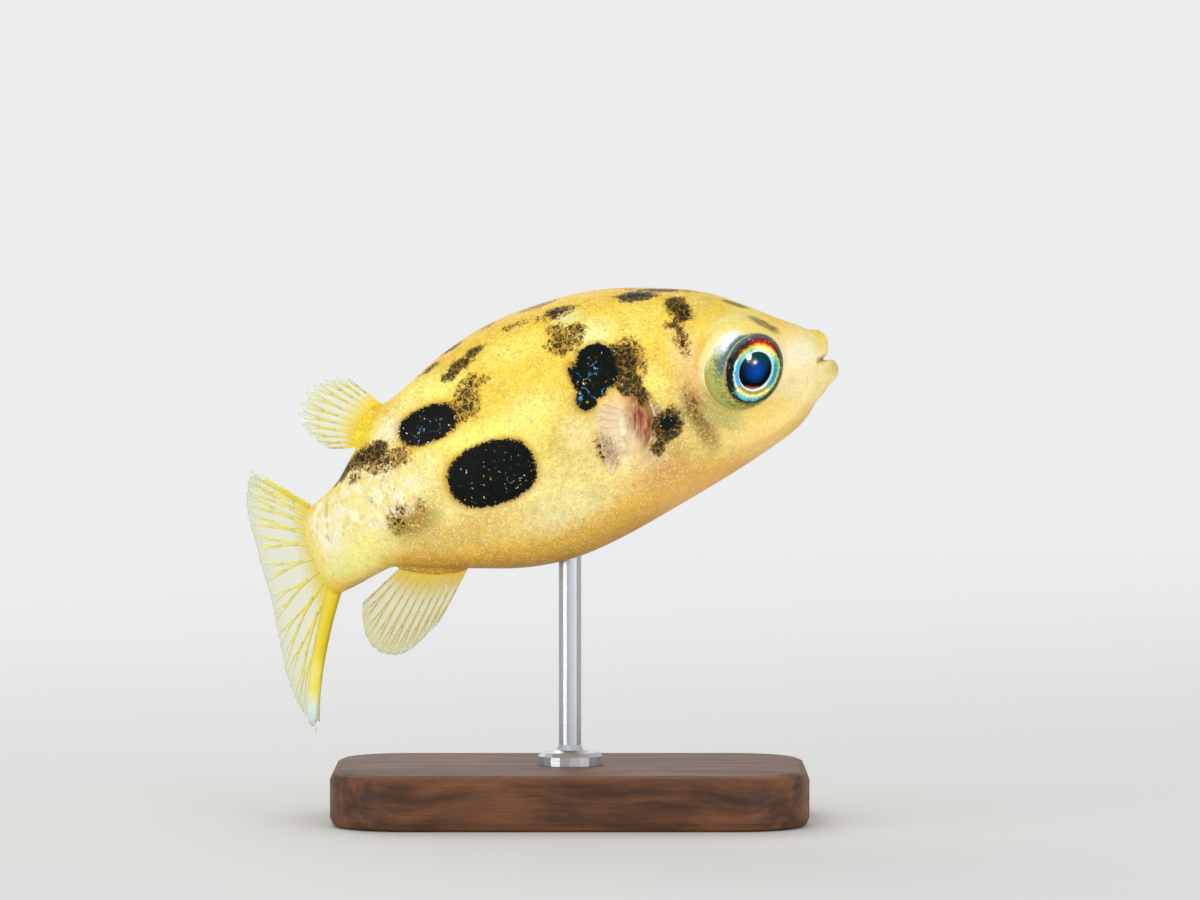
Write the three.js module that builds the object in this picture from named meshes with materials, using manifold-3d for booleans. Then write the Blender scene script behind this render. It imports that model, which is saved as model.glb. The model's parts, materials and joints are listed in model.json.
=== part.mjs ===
// A dwarf pufferfish at life size, swimming nose up with its tail swung to its left,
// held over a flat display base by one rod.
// Millimetres, +Z up. The nose points to +X and the fish's left side faces +Y.
// The origin is the centre of the base's underside.
//
// The fish is shaped in its own straight-ahead frame, whose origin is the tip of the
// snout: x runs forward, y to its left and z towards its back. "Along" is the distance
// from the snout, measured on the fish's bent midline.
import * as THREE from 'three';
import { mergeVertices } from 'three/addons/utils/BufferGeometryUtils.js';
import Module from 'manifold-3d';

const wasm = await Module();
wasm.setup();

const { abs, atan2, cos, hypot, max, PI, sign, sin, sqrt } = Math;
const radians = THREE.MathUtils.degToRad;
const lerp = THREE.MathUtils.lerp;

// ---- Driving dimensions -------------------------------------------------------------

const BODY_LENGTH = 23.1; // snout to the root of the tail fin, on the midline
const PITCH = radians(20.8); // how far the nose is lifted
const SNOUT = new THREE.Vector3(10.56, 0, 18.52); // its place over the base
const BEND_START = 14; // the body is straight up to here
const BEND = radians(62); // how far the tail root has swung to the left
const GAP = 0.2; // between neighbouring pieces
const FLESH_ROUNDNESS = 2.2; // 2 is an ellipse, more is squarer

// Outline of the body: along, back above the midline, belly below it, height of the
// widest place, half of the width.
const OUTLINE = [
  [0.45, 1.22, -0.8, 0.2, 0.75],
  [0.8, 1.62, -1.16, 0.22, 1.05],
  [1.2, 1.96, -1.35, 0.26, 1.34],
  [1.8, 2.48, -1.82, 0.34, 1.7],
  [2.5, 3.14, -2.18, 0.45, 2.08],
  [3.85, 4.22, -2.55, 0.75, 2.68],
  [5.5, 5.04, -2.92, 0.85, 3.08],
  [8, 5.9, -3.36, 0.75, 3.48],
  [10.5, 6.19, -3.74, 0.6, 3.6],
  [12.5, 6.14, -3.83, 0.5, 3.48],
  [14.5, 5.72, -3.5, 0.55, 3.08],
  [16.8, 4.84, -2.66, 0.7, 2.35],
  [17.7, 4.55, -2.3, 0.72, 2.05],
  [19.4, 3.22, -1.64, 0.55, 1.42],
  [20.4, 2.44, -1.68, 0.35, 1.12],
  [21.4, 2.06, -1.82, 0.1, 0.85],
  [23.1, 1.6, -1.98, -0.2, 0.5],
];

const HEAD_END = 8;
const TRUNK_END = 17.1;
const TAIL_ROOT_NOTCH = 0.85; // the flesh stops short of the tail root along its top edge

const EYE = {
  along: 3.8,
  height: 1.23,
  side: 1.85,
  radius: 1.9, // of the globe
  back: 1.0, // depth behind its widest place
  iris: 1.41, // radius where the clear front begins
  front: 2.02, // depth from the centre to the tip of the clear front
  look: new THREE.Vector3(0.453, 0.807, -0.379), // the way the left eye looks
};

const LIP_HALF_WIDTH = 0.95;
const UPPER_LIP = { along: 0.55, height: 0.755, depth: 0.55, tall: 0.56, droop: -0.45 };
const LOWER_LIP = { along: 0.5, height: -0.41, depth: 0.5, tall: 0.46, droop: 0.3 };
const LIP_SWEEP = 0.65; // how far back the corners of the mouth lie

const FIN_THICKNESS = 0.5;
const RAY_THICKNESS = 0.62;
const FRINGE = 0.05; // how much shorter a fin is between two rays
const FIN_GAP = 0.22; // between a fin and the flesh it stands on

const BASE_LENGTH = 19;
const BASE_WIDTH = 12;
const BASE_HEIGHT = 2.2;
const BASE_CORNER = 2.6;
const BASE_BEVEL = 0.35;
const ROD_RADIUS = 0.45;
const ROD_TOP = 11.25;
const FOOT_RADIUS = 1.3;
const FOOT_HEIGHT = 0.5;

// ---- Curves and frames --------------------------------------------------------------

// Reads rows of [place, value, ...] at any place, along a smooth curve through them.
function smooth(rows, place) {
  const last = rows.length - 1;
  const clamped = THREE.MathUtils.clamp(place, rows[0][0], rows[last][0]);
  let i = 0;
  while (i < last - 1 && clamped > rows[i + 1][0]) i += 1;
  const span = rows[i + 1][0] - rows[i][0];
  const u = (clamped - rows[i][0]) / span;
  const slope = (k, column) => {
    const before = rows[max(k - 1, 0)];
    const after = rows[Math.min(k + 1, last)];
    return (after[column] - before[column]) / (after[0] - before[0]);
  };
  return rows[i].slice(1).map((value, index) => {
    const column = index + 1;
    const next = rows[i + 1][column];
    const rise = u * u * (3 - 2 * u);
    const leaving = u * (1 - u) * (1 - u) * span * slope(i, column);
    const arriving = u * u * (1 - u) * span * slope(i + 1, column);
    return value + (next - value) * rise + leaving - arriving;
  });
}

// The bent midline: where it is and which way it heads at a distance along it.
function midline(along) {
  const bent = max(0, Math.min(along, BODY_LENGTH) - BEND_START);
  const bentLength = BODY_LENGTH - BEND_START;
  const swingAt = (distance) => BEND * (distance / bentLength) ** 2;
  let back = Math.min(along, BEND_START);
  let left = 0;
  const steps = 60;
  for (let step = 0; step < steps; step += 1) {
    const swing = swingAt(((step + 0.5) / steps) * bent);
    back += (cos(swing) * bent) / steps;
    left += (sin(swing) * bent) / steps;
  }
  const swing = swingAt(bent);
  const beyond = max(0, along - BODY_LENGTH);
  return { back: back + beyond * cos(swing), left: left + beyond * sin(swing), swing };
}

// A point of the fish from its place along, above and to the left of the midline.
function bodyPoint(along, above, left) {
  const centre = midline(along);
  return new THREE.Vector3(
    -centre.back + left * sin(centre.swing),
    centre.left + left * cos(centre.swing),
    above,
  );
}

function outline(along) {
  const [back, belly, waist, half] = smooth(OUTLINE, along);
  return { back, belly, waist, half };
}

// A point of the flesh: angle 0 is the back, a quarter turn the left side; spread 1 is
// the surface and 0 the middle.
function fleshPoint(along, angle, spread) {
  const { back, belly, waist, half } = outline(along);
  const power = 2 / FLESH_ROUNDNESS;
  const up = sign(cos(angle)) * abs(cos(angle)) ** power;
  const out = sign(sin(angle)) * abs(sin(angle)) ** power;
  const above = waist + spread * (up > 0 ? (back - waist) * up : (waist - belly) * up);
  return bodyPoint(along, above, spread * half * out);
}

// ---- Geometry helpers ---------------------------------------------------------------

// A closed geometry with its shared corners merged, each moved by a function.
function warped(geometry, move) {
  geometry.deleteAttribute('normal');
  geometry.deleteAttribute('uv');
  const merged = mergeVertices(geometry);
  const corners = merged.getAttribute('position');
  const corner = new THREE.Vector3();
  for (let i = 0; i < corners.count; i += 1) {
    corner.fromBufferAttribute(corners, i);
    const moved = move(corner);
    corners.setXYZ(i, moved.x, moved.y, moved.z);
  }
  return merged;
}

function toSolid(geometry) {
  return new wasm.Manifold(new wasm.Mesh({
    numProp: 3,
    vertProperties: new Float32Array(geometry.getAttribute('position').array),
    triVerts: new Uint32Array(geometry.index.array),
  }));
}

function fromSolid(solid) {
  const { vertProperties, triVerts } = solid.getMesh();
  const geometry = new THREE.BufferGeometry();
  geometry.setAttribute('position', new THREE.BufferAttribute(vertProperties, 3));
  geometry.setIndex(new THREE.BufferAttribute(triVerts, 1));
  return geometry;
}

function cut(geometry, ...tools) {
  return fromSolid(tools.reduce((rest, tool) => rest.subtract(toSolid(tool)), toSolid(geometry)));
}

// ---- Flesh --------------------------------------------------------------------------

// A length of the body between two places, closed at both ends. A notch pulls the top
// of its rear end forward.
function bodyLength(from, to, around, rings, notch = 0) {
  return warped(new THREE.CylinderGeometry(1, 1, 1, around, rings), (corner) => {
    const part = corner.y + 0.5;
    const angle = atan2(corner.x, corner.z);
    const spread = hypot(corner.x, corner.z);
    const pulled = notch * part * part * max(0, cos(angle) * spread);
    return fleshPoint(lerp(from, to, part) - pulled, angle, spread);
  });
}

// A lip is a bar whose ends sweep back round the snout, thickened all round by grow.
function lip(size, grow = 0) {
  return warped(new THREE.SphereGeometry(1, 18, 10), (corner) => {
    const corners = corner.z * corner.z;
    const along = size.along + LIP_SWEEP * corners - (size.depth + grow) * corner.x;
    const above = size.height + size.droop * corners + (size.tall + grow) * corner.y;
    return new THREE.Vector3(-along, -(LIP_HALF_WIDTH + grow) * corner.z, above);
  });
}

// An eye is turned about its own line of sight: a flattened back, a globe and the clear
// bulge in front of the iris. side is 1 for the left eye and -1 for the right.
function eye(side, segments = 24, grow = 0) {
  const globe = EYE.radius + grow;
  const limbusAngle = Math.asin(EYE.iris / EYE.radius);
  const profile = [];
  const backSteps = 5;
  for (let step = 0; step < backSteps; step += 1) {
    const angle = (step / backSteps) * (PI / 2);
    profile.push(new THREE.Vector2(globe * sin(angle), -(EYE.back + grow) * cos(angle)));
  }
  const globeSteps = 3;
  for (let step = 0; step < globeSteps; step += 1) {
    const angle = lerp(PI / 2, limbusAngle, step / globeSteps);
    profile.push(new THREE.Vector2(globe * sin(angle), globe * cos(angle)));
  }
  const rim = globe * cos(limbusAngle);
  const frontSteps = 5;
  for (let step = 0; step <= frontSteps; step += 1) {
    const angle = (step / frontSteps) * (PI / 2);
    const radius = globe * sin(limbusAngle) * cos(angle);
    profile.push(new THREE.Vector2(max(radius, 0), lerp(rim, EYE.front + grow, sin(angle))));
  }
  profile[0].x = 0;
  profile[profile.length - 1].x = 0;
  const look = EYE.look.clone().multiply(new THREE.Vector3(1, side, 1)).normalize();
  const turn = new THREE.Quaternion().setFromUnitVectors(new THREE.Vector3(0, 1, 0), look);
  const centre = new THREE.Vector3(-EYE.along, side * EYE.side, EYE.height);
  return warped(new THREE.LatheGeometry(profile, segments), (corner) => (
    corner.clone().applyQuaternion(turn).add(centre)
  ));
}

// ---- Fins ---------------------------------------------------------------------------

// Each fin is a fan of rays. Its rows say, across the fan from the first ray to the
// last: where the ray leaves the body (along, and above where that varies), how far it
// swings to the left of straight back and rises, in degrees, and how long it is.
// Curl is how far the tips bend out of the fan, and bow how far the last ray bends
// back halfway along it.
const FINS = {
  dorsal_fin: {
    rays: 11,
    rows: [
      [0, 17.7, 10, 57, 1.5],
      [0.25, 18.1, 12, 49, 2.45],
      [0.5, 18.55, 14, 37, 2.75],
      [0.75, 18.95, 17, 24, 2.3],
      [1, 19.35, 20, 12, 1.1],
    ],
    base: (along) => bodyPoint(along, outline(along).back + FIN_GAP, 0),
    curl: 0.25,
    bow: 0,
  },
  anal_fin: {
    rays: 11,
    rows: [
      [0, 16.9, 8, -42, 2.2],
      [0.25, 17.55, 10, -43.5, 3.45],
      [0.5, 18.2, 12, -42, 3.75],
      [0.75, 18.85, 15, -37, 3.4],
      [1, 19.5, 19, -22, 1.9],
    ],
    base: (along) => bodyPoint(along, outline(along).belly - FIN_GAP, 0),
    curl: -0.3,
    bow: 0,
  },
  caudal_fin: {
    rays: 10,
    rows: [
      [0, 22.55, 66, 24, 5.5, 1.7],
      [0.25, 23.25, 64, 16, 5.8, 0.86],
      [0.5, 23.4, 62.5, 4.5, 5.7, 0],
      [0.75, 23.35, 57, -16, 5.65, -0.94],
      [1, 23.3, 38, -56, 6.3, -1.82],
    ],
    base: (along, above) => bodyPoint(along, above, 0),
    curl: 0,
    bow: 0.22,
  },
};

for (const side of [1, -1]) {
  FINS[side > 0 ? 'pectoral_fin_left' : 'pectoral_fin_right'] = {
    rays: 9,
    rows: [
      [0, 8.62, 64 * side, 16, 2.45, 1.15],
      [0.25, 8.8, 64 * side, 11, 2.9, 0.75],
      [0.5, 8.95, 65 * side, 3, 3.05, 0.3],
      [0.75, 9.1, 64 * side, -8, 2.85, -0.15],
      [1, 9.25, 62 * side, -18, 2.4, -0.55],
    ],
    base: (along, above) => bodyPoint(along, above, side * (outline(along).half + GAP)),
    curl: 0.35 * side,
    bow: 0,
  };
}

function finSurface(fin, across, out) {
  const [along, swing, rise, length, above] = smooth(fin.rows, across);
  const place = fin.base(along, above);
  const yaw = radians(swing);
  const lift = radians(rise);
  const ray = new THREE.Vector3(-cos(lift) * cos(yaw), cos(lift) * sin(yaw), sin(lift));
  const curl = new THREE.Vector3(sin(yaw), cos(yaw), 0).multiplyScalar(fin.curl * out * out);
  const bow = fin.bow * across * across * 4 * out * (1 - out);
  place.x -= bow;
  return place.addScaledVector(ray, length * out).add(curl);
}

// A fin's plate, thicker on each ray and a little shorter between two rays.
function finPlate(fin, rows) {
  const columns = 2 * (fin.rays - 1);
  const step = 0.001;
  return warped(new THREE.BoxGeometry(1, 1, 1, columns, rows, 1), (corner) => {
    const across = corner.x + 0.5;
    const onRay = Math.round(across * columns) % 2 === 0;
    const out = (corner.y + 0.5) * (onRay ? 1 : 1 - FRINGE);
    const place = finSurface(fin, across, out);
    const sideways = finSurface(fin, across + (across > 0.5 ? -step : step), out).sub(place);
    if (across > 0.5) sideways.negate();
    const outwards = finSurface(fin, across, out + step).sub(place);
    const normal = sideways.cross(outwards).normalize();
    const thickness = onRay ? RAY_THICKNESS : FIN_THICKNESS;
    return place.addScaledVector(normal, corner.z * thickness);
  });
}

// ---- Stand --------------------------------------------------------------------------

function standBase() {
  const halfLength = BASE_LENGTH / 2 - BASE_BEVEL;
  const halfWidth = BASE_WIDTH / 2 - BASE_BEVEL;
  const shape = new THREE.Shape();
  shape.moveTo(halfLength, halfWidth - BASE_CORNER);
  shape.absarc(halfLength - BASE_CORNER, halfWidth - BASE_CORNER, BASE_CORNER, 0, PI / 2);
  shape.absarc(BASE_CORNER - halfLength, halfWidth - BASE_CORNER, BASE_CORNER, PI / 2, PI);
  shape.absarc(BASE_CORNER - halfLength, BASE_CORNER - halfWidth, BASE_CORNER, PI, 1.5 * PI);
  shape.absarc(halfLength - BASE_CORNER, BASE_CORNER - halfWidth, BASE_CORNER, 1.5 * PI, 2 * PI);
  const geometry = new THREE.ExtrudeGeometry(shape, {
    depth: BASE_HEIGHT - 2 * BASE_BEVEL,
    bevelThickness: BASE_BEVEL,
    bevelSize: BASE_BEVEL,
    bevelSegments: 2,
    curveSegments: 5,
  });
  return warped(geometry, (corner) => corner.clone().setZ(corner.z + BASE_BEVEL));
}

// The rod and its round foot are one turned piece.
function standRod() {
  const fillet = 0.3;
  const profile = [
    [0, 0],
    [FOOT_RADIUS, 0],
    [FOOT_RADIUS, FOOT_HEIGHT - 0.15],
    [FOOT_RADIUS - 0.15, FOOT_HEIGHT],
    [ROD_RADIUS + fillet, FOOT_HEIGHT],
    [ROD_RADIUS + fillet * (1 - sqrt(0.5)), FOOT_HEIGHT + fillet * (1 - sqrt(0.5))],
    [ROD_RADIUS, FOOT_HEIGHT + fillet],
    [ROD_RADIUS, ROD_TOP - BASE_HEIGHT],
    [0, ROD_TOP - BASE_HEIGHT],
  ].map(([radius, height]) => new THREE.Vector2(radius, height));
  return warped(new THREE.LatheGeometry(profile, 20), (corner) => (
    new THREE.Vector3(corner.x, -corner.z, corner.y + BASE_HEIGHT)
  ));
}

// The hole in the belly that takes the rod, in the fish's frame.
function rodHole(fishFrame) {
  const length = 4;
  const hole = new THREE.CylinderGeometry(ROD_RADIUS + GAP, ROD_RADIUS + GAP, length, 16);
  hole.rotateX(PI / 2);
  hole.translate(0, 0, ROD_TOP + GAP - length / 2);
  const toFish = fishFrame.clone().invert();
  return warped(hole, (corner) => corner.clone().applyMatrix4(toFish));
}

// ---- The part -----------------------------------------------------------------------

function finish(color, roughness, metalness = 0) {
  return new THREE.MeshStandardMaterial({ color, roughness, metalness });
}

const FINISH = {
  skin: finish('#d9b552', 0.45),
  lip: finish('#e3c48c', 0.4),
  eye: finish('#1c3a5e', 0.08),
  fin: finish('#cfc56a', 0.35),
  wood: finish('#5a3420', 0.4),
  steel: finish('#b9bcc0', 0.3, 1),
};

const fish = new THREE.Group();
fish.position.copy(SNOUT);
fish.rotation.y = -PITCH;
fish.updateMatrixWorld();

const stand = new THREE.Group();

function add(group, name, geometry, material) {
  const mesh = new THREE.Mesh(geometry, material);
  mesh.name = name;
  group.add(mesh);
}

const headTools = [
  eye(1, 20, GAP),
  eye(-1, 20, GAP),
  lip(UPPER_LIP, GAP),
  lip(LOWER_LIP, GAP),
];
const head = bodyLength(OUTLINE[0][0], HEAD_END - GAP / 2, 34, 18);
add(fish, 'head', cut(head, ...headTools), FINISH.skin);
const trunk = bodyLength(HEAD_END + GAP / 2, TRUNK_END - GAP / 2, 34, 17);
add(fish, 'trunk', cut(trunk, rodHole(fish.matrixWorld)), FINISH.skin);
const tail = bodyLength(TRUNK_END + GAP / 2, BODY_LENGTH, 30, 13, TAIL_ROOT_NOTCH);
add(fish, 'tail', tail, FINISH.skin);
add(fish, 'upper_lip', lip(UPPER_LIP), FINISH.lip);
add(fish, 'lower_lip', lip(LOWER_LIP), FINISH.lip);
add(fish, 'eye_left', eye(1), FINISH.eye);
add(fish, 'eye_right', eye(-1), FINISH.eye);
for (const [name, fin] of Object.entries(FINS)) {
  add(fish, name, finPlate(fin, name === 'caudal_fin' ? 8 : 5), FINISH.fin);
}
add(stand, 'stand_base', standBase(), FINISH.wood);
add(stand, 'stand_rod', standRod(), FINISH.steel);

const part = new THREE.Group();
part.add(fish, stand);

export default part;
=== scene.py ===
import json
import logging
import math
from collections.abc import Iterator
from contextlib import contextmanager
from dataclasses import dataclass, replace
from enum import Enum

import bpy
import numpy as np
from mathutils import Matrix, Vector

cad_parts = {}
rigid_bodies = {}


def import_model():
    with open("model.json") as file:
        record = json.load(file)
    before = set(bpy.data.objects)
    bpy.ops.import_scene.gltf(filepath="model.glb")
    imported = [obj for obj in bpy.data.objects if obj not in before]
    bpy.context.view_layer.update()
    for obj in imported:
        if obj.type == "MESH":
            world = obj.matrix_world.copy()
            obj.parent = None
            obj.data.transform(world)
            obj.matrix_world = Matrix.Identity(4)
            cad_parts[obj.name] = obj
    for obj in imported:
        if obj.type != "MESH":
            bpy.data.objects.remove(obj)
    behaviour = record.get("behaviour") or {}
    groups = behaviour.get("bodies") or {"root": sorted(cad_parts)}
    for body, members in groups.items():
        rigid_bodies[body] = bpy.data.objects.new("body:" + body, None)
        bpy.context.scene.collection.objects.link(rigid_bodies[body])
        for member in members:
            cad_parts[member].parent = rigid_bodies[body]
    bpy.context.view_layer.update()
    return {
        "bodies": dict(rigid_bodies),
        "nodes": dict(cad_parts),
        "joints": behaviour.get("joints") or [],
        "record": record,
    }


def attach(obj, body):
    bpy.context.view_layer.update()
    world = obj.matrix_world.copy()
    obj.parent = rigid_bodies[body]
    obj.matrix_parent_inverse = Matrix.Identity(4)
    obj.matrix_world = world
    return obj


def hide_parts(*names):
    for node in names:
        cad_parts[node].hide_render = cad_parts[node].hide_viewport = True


LOG = logging.getLogger("pufferfish")
MM = 0.001  # metres in a millimetre
WELD = 1e-6  # how close two corners are when they count as one
BODY = "root"

Colour = tuple[float, float, float]


class Side(Enum):
    """A side of the fish, as the sign of its own left."""

    LEFT = 1
    RIGHT = -1


class Edge(Enum):
    """The line of the body that a fin's rays leave from."""

    BACK = "back"
    BELLY = "belly"
    MIDDLE = "middle"
    SIDE = "side"


class Mark(Enum):
    """A kind of marking, and the name of the attribute that carries it."""

    BLACK = "black"
    UMBER = "umber"
    DAPPLE = "dapple"
    RUST = "rust"
    PEARL = "pearl"
    JEWEL = "jewel"
    PLAIN = "plain"
    STREAK = "streak"


def srgb(red: int, green: int, blue: int) -> Colour:
    """Turns a colour of 0 to 255 a channel into linear light.

    Args:
        red: The red channel.
        green: The green channel.
        blue: The blue channel.

    Returns:
        The linear colour.
    """
    low, gamma = 0.04045, 2.4
    shares = (value / 255 for value in (red, green, blue))
    return tuple(v / 12.92 if v <= low else ((v + 0.055) / 1.055) ** gamma for v in shares)


def smooth_step(low: float, high: float, values: np.ndarray) -> np.ndarray:
    """Rises smoothly from 0 at low to 1 at high."""
    share = np.clip((values - low) / (high - low), 0, 1)
    return share * share * (3 - 2 * share)


def bell(values: np.ndarray, middle: np.ndarray | float, width: float) -> np.ndarray:
    """Gives a bump of height 1 at its middle, which falls to a third a width away."""
    return np.exp(-(((values - middle) / width) ** 2))


def read_rows(rows: tuple, place: np.ndarray) -> np.ndarray:
    """Reads rows of (place, value, ...) anywhere, along a smooth curve through them.

    Args:
        rows: The rows, in order of place.
        place: Where to read them.

    Returns:
        One line of values for each place.
    """
    table = np.asarray(rows, dtype=float)
    at, values = table[:, 0], table[:, 1:]
    count = len(at)
    before = np.maximum(np.arange(count) - 1, 0)
    after = np.minimum(np.arange(count) + 1, count - 1)
    slope = (values[after] - values[before]) / (at[after] - at[before])[:, None]
    clamped = np.clip(place, at[0], at[-1])
    i = np.clip(np.searchsorted(at, clamped) - 1, 0, count - 2)
    span = (at[i + 1] - at[i])[:, None]
    share = (clamped - at[i])[:, None] / span
    rise = share * share * (3 - 2 * share)
    leaving = share * (1 - share) ** 2 * span * slope[i]
    arriving = share**2 * (1 - share) * span * slope[i + 1]
    return values[i] + (values[i + 1] - values[i]) * rise + leaving - arriving


# ---- Mesh helpers ---------------------------------------------------------------------


def corners_of(piece: bpy.types.Object, key: str = "co") -> np.ndarray:
    """Reads three numbers from each corner of a piece.

    Args:
        piece: The piece.
        key: What to read: "co" for the places, or "normal" for the ways they face.

    Returns:
        One row for each corner.
    """
    flat = np.empty(len(piece.data.vertices) * 3)
    piece.data.vertices.foreach_get(key, flat)
    return flat.reshape(-1, 3)


def move_corners(piece: bpy.types.Object, places: np.ndarray) -> None:
    """Puts a piece's corners at new places, one row for each."""
    piece.data.vertices.foreach_set("co", np.ascontiguousarray(places, dtype=float).ravel())
    piece.data.update()


def select_only(*pieces: bpy.types.Object) -> None:
    """Selects these pieces and makes the first the active one.

    Args:
        pieces: The pieces.
    """
    bpy.ops.object.select_all(action="DESELECT")
    for piece in pieces:
        piece.select_set(True)
    bpy.context.view_layer.objects.active = pieces[0]


@contextmanager
def editing(piece: bpy.types.Object) -> Iterator[None]:
    """Opens a piece for editing with all of it selected, and closes it again.

    Args:
        piece: The piece to edit.

    Yields:
        Nothing, while the piece is open.
    """
    select_only(piece)
    bpy.ops.object.mode_set(mode="EDIT")
    bpy.ops.mesh.select_all(action="SELECT")
    yield
    bpy.ops.object.mode_set(mode="OBJECT")


def dress(piece: bpy.types.Object, material: bpy.types.Material) -> None:
    """Gives a piece its one material and smooth shading.

    Args:
        piece: The piece.
        material: What it is made of.
    """
    piece.data.materials.clear()
    piece.data.materials.append(material)
    select_only(piece)
    bpy.ops.object.shade_smooth()


def joined(name: str, pieces: list[bpy.types.Object]) -> bpy.types.Object:
    """Joins pieces into one.

    Args:
        name: What to call it.
        pieces: The pieces, of which the first takes in the others.

    Returns:
        The joined piece.
    """
    select_only(*pieces)
    bpy.ops.object.join()
    pieces[0].name = name
    return pieces[0]


def apply_modifier(piece: bpy.types.Object, kind: str, **settings: object) -> None:
    """Adds a modifier to a piece and applies it.

    Args:
        piece: The piece to change.
        kind: The type of the modifier.
        settings: Its settings, by name.
    """
    select_only(piece)
    modifier = piece.modifiers.new(kind.lower(), kind)
    for key, value in settings.items():
        setattr(modifier, key, value)
    bpy.ops.object.modifier_apply(modifier=modifier.name)


def copied(piece: bpy.types.Object) -> bpy.types.Object:
    """Copies a piece with a mesh of its own.

    Args:
        piece: The piece to copy.

    Returns:
        The copy.
    """
    twin = piece.copy()
    twin.data = piece.data.copy()
    bpy.context.collection.objects.link(twin)
    return twin


def ball(segments: int, rings: int) -> bpy.types.Object:
    """Adds a round blank of radius 1, to be shaped."""
    bpy.ops.mesh.primitive_uv_sphere_add(segments=segments, ring_count=rings, radius=1)
    return bpy.context.object


def tidy_shell(piece: bpy.types.Object) -> None:
    """Merges a closed piece's doubled corners and turns its faces outwards.

    Args:
        piece: The piece to clean.
    """
    with editing(piece):
        bpy.ops.mesh.remove_doubles(threshold=WELD)
        bpy.ops.mesh.normals_make_consistent(inside=False)


def write_attribute(piece: bpy.types.Object, name: str, values: np.ndarray) -> None:
    """Stores a number or a colour on each corner of a piece.

    Args:
        piece: The piece that carries the attribute.
        name: The attribute's name.
        values: One number or one linear colour for each corner.
    """
    if values.ndim == 1:
        attribute = piece.data.attributes.new(name, "FLOAT", "POINT")
        attribute.data.foreach_set("value", np.ascontiguousarray(values, dtype=float))
        return
    attribute = piece.data.attributes.new(name, "FLOAT_COLOR", "POINT")
    full = np.concatenate([values, np.ones((len(values), 1))], axis=1)
    attribute.data.foreach_set("color", np.ascontiguousarray(full, dtype=float).ravel())


# ---- The fish's form ------------------------------------------------------------------


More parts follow.
